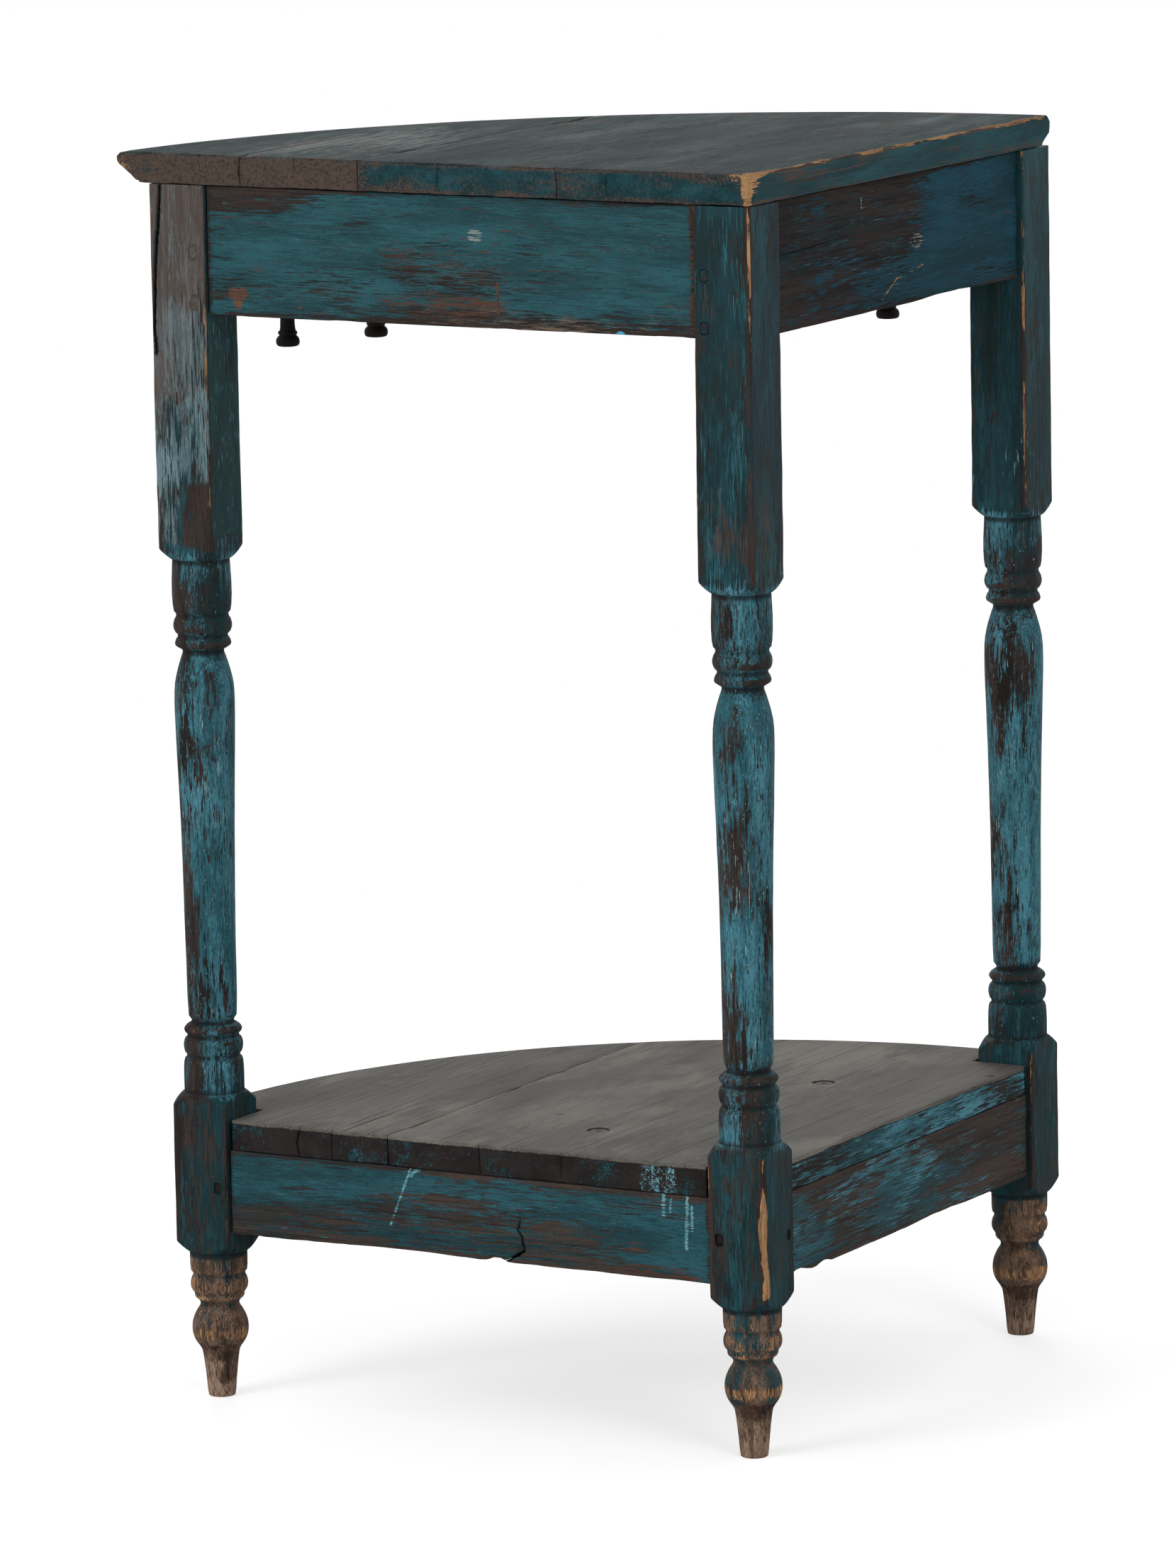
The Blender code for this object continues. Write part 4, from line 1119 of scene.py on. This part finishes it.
CAMERA = {
    "location": (4.69806, 2.64867, 1.27299),
    "heading": 0.50379,
    "tilt": -0.16769,
    "roll": -0.01657,
    "focal": 12641.58,
    "centre": (966.41, 1106.83),
    "picture": (1659, 2212),
}
SENSOR = 36
WORLD_LEVEL = 0.5
FLOOR_RADIUS = 1.6
FLOOR_SHADE = 0.72
FLOOR_GLOW = 0.58
LAMP_TARGET = Vector((0, 0, 0.4))
LAMPS = (
    ("key", (2.0, 3.4, 2.0), 1.6, 36),
    ("side", (3.4, -1.6, 1.5), 1.6, 54),
    ("back", (-2.6, -1.6, 2.0), 1.8, 22),
)


def make_camera():
    """A long lens from behind the corner leg, a little above the top."""
    data = bpy.data.cameras.new("camera")
    camera = add_piece("camera", data)
    width, height = CAMERA["picture"]
    data.sensor_width = SENSOR
    data.lens = CAMERA["focal"] * SENSOR / height
    data.shift_x = (width / 2 - CAMERA["centre"][0]) / height
    data.shift_y = (CAMERA["centre"][1] - height / 2) / height
    data.clip_end = 100
    flat = math.cos(CAMERA["tilt"])
    heading = CAMERA["heading"]
    ahead = Vector((-flat * math.cos(heading), -flat * math.sin(heading), math.sin(CAMERA["tilt"])))
    right = ahead.cross(UP).normalized()
    up = right.cross(ahead)
    cos, sin = math.cos(CAMERA["roll"]), math.sin(CAMERA["roll"])
    turn = Matrix((right * cos + up * sin, up * cos - right * sin, -ahead)).transposed()
    camera.matrix_world = Matrix.Translation(CAMERA["location"]) @ turn.to_4x4()
    bpy.context.scene.camera = camera


def make_lamps():
    for name, location, size, power in LAMPS:
        data = bpy.data.lights.new(name, "AREA")
        data.shape = "SQUARE"
        data.size = size
        data.energy = power
        light = add_piece(name, data)
        light.location = location
        light.rotation_mode = "QUATERNION"
        light.rotation_quaternion = (LAMP_TARGET - Vector(location)).to_track_quat("-Z", "Y")


def make_world():
    """White to the camera and in reflections, and a plain level of light on the object."""
    world = bpy.data.worlds.new("studio")
    bpy.context.scene.world = world
    world.use_nodes = True
    tree = world.node_tree
    path = add_node(tree, "LightPath")
    shown = path.outputs["Is Camera Ray"]
    for ray in ("Is Glossy Ray", "Is Transmission Ray"):
        rays = {0: shown, 1: path.outputs[ray]}
        shown = add_node(tree, "Math", rays, operation="MAXIMUM").outputs[0]
    levels = {"Value": shown, "To Min": WORLD_LEVEL, "To Max": 1.0}
    strength = add_node(tree, "MapRange", levels).outputs["Result"]
    set_inputs(tree, tree.nodes["Background"], {"Color": (1, 1, 1, 1), "Strength": strength})


def make_floor():
    """A pale floor that keeps the shadows."""
    bpy.ops.mesh.primitive_circle_add(vertices=96, radius=FLOOR_RADIUS, fill_type="NGON")
    floor = bpy.context.active_object
    floor.name = "floor"
    material = bpy.data.materials.new("floor_white")
    material.use_nodes = True
    tree = material.node_tree
    shown = add_node(tree, "LightPath").outputs["Is Camera Ray"]
    glow = add_node(tree, "Math", {0: shown, 1: FLOOR_GLOW}, operation="MULTIPLY").outputs[0]
    looks = {
        "Base Color": (FLOOR_SHADE, FLOOR_SHADE, FLOOR_SHADE, 1),
        "Roughness": 0.9,
        "Specular IOR Level": 0.0,
        "Emission Color": (1, 1, 1, 1),
        "Emission Strength": glow,
    }
    set_inputs(tree, tree.nodes["Principled BSDF"], looks)
    floor.data.materials.append(material)


LEG_LOOKS = {
    "leg_corner": ((TEAL, BLUE), 0.5, 0.03, corner_leg_marks),
    "leg_right": ((TEAL, BLUE), 0.4, 0.08, right_leg_marks),
    # leg_left's upper block in ink teal is painted shade, matched to its shaded face towards the
    # corner leg, over its dark teal paint.
    "leg_left": (INKS, 0.85, 0.004, left_leg_marks),
}
LEG_PINS = {
    "leg_corner": (0.00035, ("upper_pin_corner_1", "upper_pin_corner_2", "lower_pin_corner_1")),
    "leg_right": (0.00004, ("upper_pin_right_1", "upper_pin_right_2", "lower_pin_right_1")),
}
SPLIT_PATH = ((0.3975, 0.744), (0.3995, 0.722), (0.4026, 0.69), (0.404, 0.655), (0.403, 0.64))

# By node: wall, place across it, width, depth, seed, and places along the wall and up
CRACKS = {
    "lower_rail_right": (
        (on_right, RAIL_FACE, 0.0019, 0.014, 4, (0.1793, 0.104), (0.164, 0.113),
         (0.1655, 0.1215), (0.1685, 0.1255), (0.1655, 0.133)),
    ),
    "upper_rail_left": (
        (on_left, RAIL_FACE, 0.0006, 0.003, 5, (0.042, 0.7085), (0.08, 0.7098), (0.128, 0.7118)),
    ),
    "top_board_front": (
        (on_right, 0, 0.0011, 0.01, 6, (0.3416, 0.7405), (0.3424, 0.751), (0.3412, 0.761)),
        (on_top, 0.76, 0.0007, 0.004, 7, (0.3412, -0.001), (0.34, 0.02), (0.3396, 0.07)),
        (on_right, 0, 0.0005, 0.004, 8, (0.304, 0.75), (0.3048, 0.7608)),
    ),
    "top_board_back": (
        (on_right, 0, 0.0005, 0.004, 9, (0.2069, 0.744), (0.2062, 0.7605)),
        (on_right, 0, 0.0007, 0.005, 10, (0.127, 0.7405), (0.1262, 0.748), (0.1275, 0.76)),
        (on_right, 0, 0.0005, 0.004, 11, (0.0931, 0.745), (0.0935, 0.7575)),
    ),
    "shelf_board_front": (
        (on_right, RAIL_FACE, 0.0012, 0.01, 12, (0.3185, 0.156), (0.3205, 0.165), (0.318, 0.176)),
        (on_right, RAIL_FACE, 0.0006, 0.006, 13, (0.2962, 0.156), (0.296, 0.1758)),
    ),
    "shelf_board_back": (
        (on_right, RAIL_FACE, 0.0007, 0.006, 14, (0.1932, 0.1565), (0.194, 0.1758)),
        (on_right, RAIL_FACE, 0.0005, 0.005, 15, (0.138, 0.16), (0.1376, 0.1758)),
    ),
}

# By node: places, radii and how far the surface is pulled there, along the walls and up
NICKS = {
    "top_board_front": (
        ((0.43, 0.000, 0.7395), (0.02, 0.05, 0.015), (-0.011, 0, 0.001)),
        ((0.43, 0.000, 0.761), (0.006, 0.03, 0.005), (-0.002, 0, -0.001)),
        ((0.339, 0.000, 0.761), (0.01, 0.012, 0.003), (0, 0.001, -0.001)),
    ),
    "top_board_back": (
        ((0.000, 0.39, 0.7395), (0.04, 0.014, 0.011), (0, -0.009, 0.001)),
        ((0.000, 0.39, 0.761), (0.03, 0.006, 0.006), (0, -0.003, -0.001)),
        ((0.000, 0.0000, 0.761), (0.008, 0.008, 0.006), (0.0015, 0.0015, -0.001)),
        ((0.000, 0.0000, 0.75), (0.005, 0.005, 0.02), (0.001, 0.001, 0)),
    ),
    "lower_rail_right": (
        ((0.183, 0.0035, 0.104), (0.009, 0.03, 0.004), (0, 0, 0.0024)),
        ((0.25, 0.0035, 0.104), (0.06, 0.03, 0.005), (0, 0, 0.0012)),
    ),
    "lower_rail_left": (
        ((0.0035, 0.05, 0.104), (0.03, 0.016, 0.006), (0, 0, 0.003)),
        ((0.0035, 0.082, 0.104), (0.03, 0.01, 0.004), (0, 0, 0.0016)),
        ((0.0035, 0.23, 0.104), (0.03, 0.05, 0.004), (0, 0, 0.001)),
    ),
    "upper_rail_left": (((0.0035, 0.26, 0.663), (0.03, 0.05, 0.004), (0, 0, 0.0012)),),
    "shelf_board_front": (((0.4, 0.0035, 0.176), (0.012, 0.012, 0.004), (0, 0, -0.001)),),
}

SORTED_NODES = sorted(NODES)
for number, name in enumerate(LEG_CENTRES, start=1):
    leg = add_piece(name + "_worn", leg_mesh(name, number))
    pin_gap, pins = LEG_PINS.get(name, (0, ()))
    for pin in pins:
        cut(leg, pin_hole(pin, pin_gap, SORTED_NODES.index(pin)))
    if name == "leg_right":
        cut(leg, crack(on_right, 0, 0.003, 0.014, 2, *SPLIT_PATH))
    if name == "leg_corner":
        low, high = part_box("lower_pin_corner_1")
        middle = place(0, LEG_SQUARE * 0.82, (low.z + high.z) / 2)
        notch = ((-0.0022, 0.9), (0.004, 1.0))
        cut(leg, peg("notch", middle, (0, 1, 0), (0.0024, 0.0036), notch, 90))
    finish_piece(leg, name, leg_finish(name, number, *LEG_LOOKS[name]))

NEAR = LEG_SQUARE + GAP
NEAR_RIGHT = (place(NEAR, 0, 0), (0, 1, 0))
NEAR_LEFT = (place(0, NEAR, 0), (1, 0, 0))
FAR_RIGHT = (place(RIGHT_SIDE - NEAR, 0, 0), (0, -1, 0))
FAR_LEFT = (place(0, LEFT_SIDE - NEAR, 0), (-1, 0, 0))
RAILS = (
    ("upper_rail_right", upper_right_finish, "y", (NEAR_RIGHT, FAR_RIGHT)),
    ("upper_rail_left", upper_left_finish, "x", (NEAR_LEFT, FAR_LEFT)),
    ("lower_rail_right", lower_right_finish, "y", (NEAR_RIGHT, FAR_RIGHT)),
    ("lower_rail_left", lower_left_finish, "x", (NEAR_LEFT, FAR_LEFT)),
    ("upper_rail_front", front_rail_finish, None, (NEAR_RIGHT, NEAR_LEFT)),
    ("lower_rail_front", front_rail_finish, None, (NEAR_RIGHT, NEAR_LEFT)),
)
for number, (name, finish, along, trims) in enumerate(RAILS, start=20):
    rail = worn_board(name, number, trims, 0.0008, wear=0.6)
    if along:
        straight_grain(rail, along)
    else:
        curved_grain(rail, place(0.02, 0.02, 0))
    finish_piece(rail, name, finish(name))

BOARDS = (
    ("top_board_back", "painted_top", top_finish("top_board_back", 31, 0.72), TOP_SEAM_Y),
    ("top_board_front", "painted_top", top_finish("top_board_front", 32, 0.05), TOP_SEAM_Y),
    ("shelf_board_back", "worn_shelf", shelf_finish("shelf_board_back", 33), SHELF_SEAM_Y),
    ("shelf_board_front", "worn_shelf", shelf_finish("shelf_board_front", 34), SHELF_SEAM_Y),
)
for number, (name, slot, material, seam) in enumerate(BOARDS, start=40):
    board = worn_board(name, number, (), 0.0012, seam, 0.7)
    straight_grain(board, "x")
    finish_piece(board, name, material)

DROP_WORN_BY = {"drop_3": 0.003}
SPIGOT = 0.0032
DROP_WOOD = small_wood("drop_dark_wood", 51, DARKS, BLACK_BROWN)
PLUG_WOOD = small_wood("plug_grey_wood", 53, SHELF_WOODS, DARK_GRAIN)
PIN_WOODS = {
    "upper_pin_corner": small_wood("pin_painted", 52, BROWNS, BLACK_BROWN, INKS, 0.6),
    "upper_pin_right": small_wood("pin_grey", 54, DRY_WOODS, BROWN),
    "lower_pin_corner": small_wood("pin_dark", 55, DARKS, BLACK_BROWN),
}
PIN_WOODS["lower_pin_right"] = PIN_WOODS["lower_pin_corner"]


def make_drop(name, low, high, centre):
    radius = (high.x - low.x) / 2
    under = UPPER_RAIL_BOTTOM - GAP
    end = low.z + DROP_WORN_BY.get(name, 0)
    outline = [(0.0004, high.z), (SPIGOT, high.z - 0.0005), (SPIGOT, under)]
    turned = turned_outline(DROP_SHARES, under, end - under, radius)
    outline += [(out, height) for height, out in turned]
    outline += [(0.0008, end)]
    drop = lathe(name + "_turned", outline, centre, int(name[-1]) + 60)
    finish_piece(drop, name, DROP_WOOD)


def make_plug(name, low, high, centre):
    radius = (high.x - low.x) / 2
    outline = [(0.0004, high.z), (radius - 0.0008, high.z), (radius - 0.0001, high.z - 0.0006)]
    outline += [(radius - 0.0001, low.z + 0.0005), (radius - 0.0006, low.z), (0.0004, low.z)]
    plug = lathe(name + "_turned", outline, centre, int(name[-1]) + 80, 0.00006)
    finish_piece(plug, name, PLUG_WOOD)


def make_pin(name):
    centre, half, size = peg_place(name)
    end = half - (0.0012 if name.startswith("lower") else 0.0)
    chamfer = 0.0002 if name.startswith("upper_pin_right") else 0.0008
    rings = ((-half, 1), (end - chamfer, 1), (end - chamfer / 4, 1 - 70 * chamfer))
    rings += ((end, 1 - 250 * chamfer),)
    pin = peg(name + "_whittled", centre, (1, 0, 0), size, rings, SORTED_NODES.index(name))
    straight_grain(pin, "x")
    for key in ("arris", "relief"):
        store(pin.data, key, "FLOAT", np.zeros(len(pin.data.vertices)))
    finish_piece(pin, name, PIN_WOODS[name.rsplit("_", 1)[0]])


for name in SORTED_NODES:
    low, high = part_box(name)
    centre = (low + high) / 2
    if name.startswith("drop_"):
        make_drop(name, low, high, centre)
    elif "_pin_" in name:
        make_pin(name)
    elif "plug" in name:
        make_plug(name, low, high, centre)

make_world()
make_floor()
make_lamps()
make_camera()
bpy.context.scene.view_settings.view_transform = "Standard"
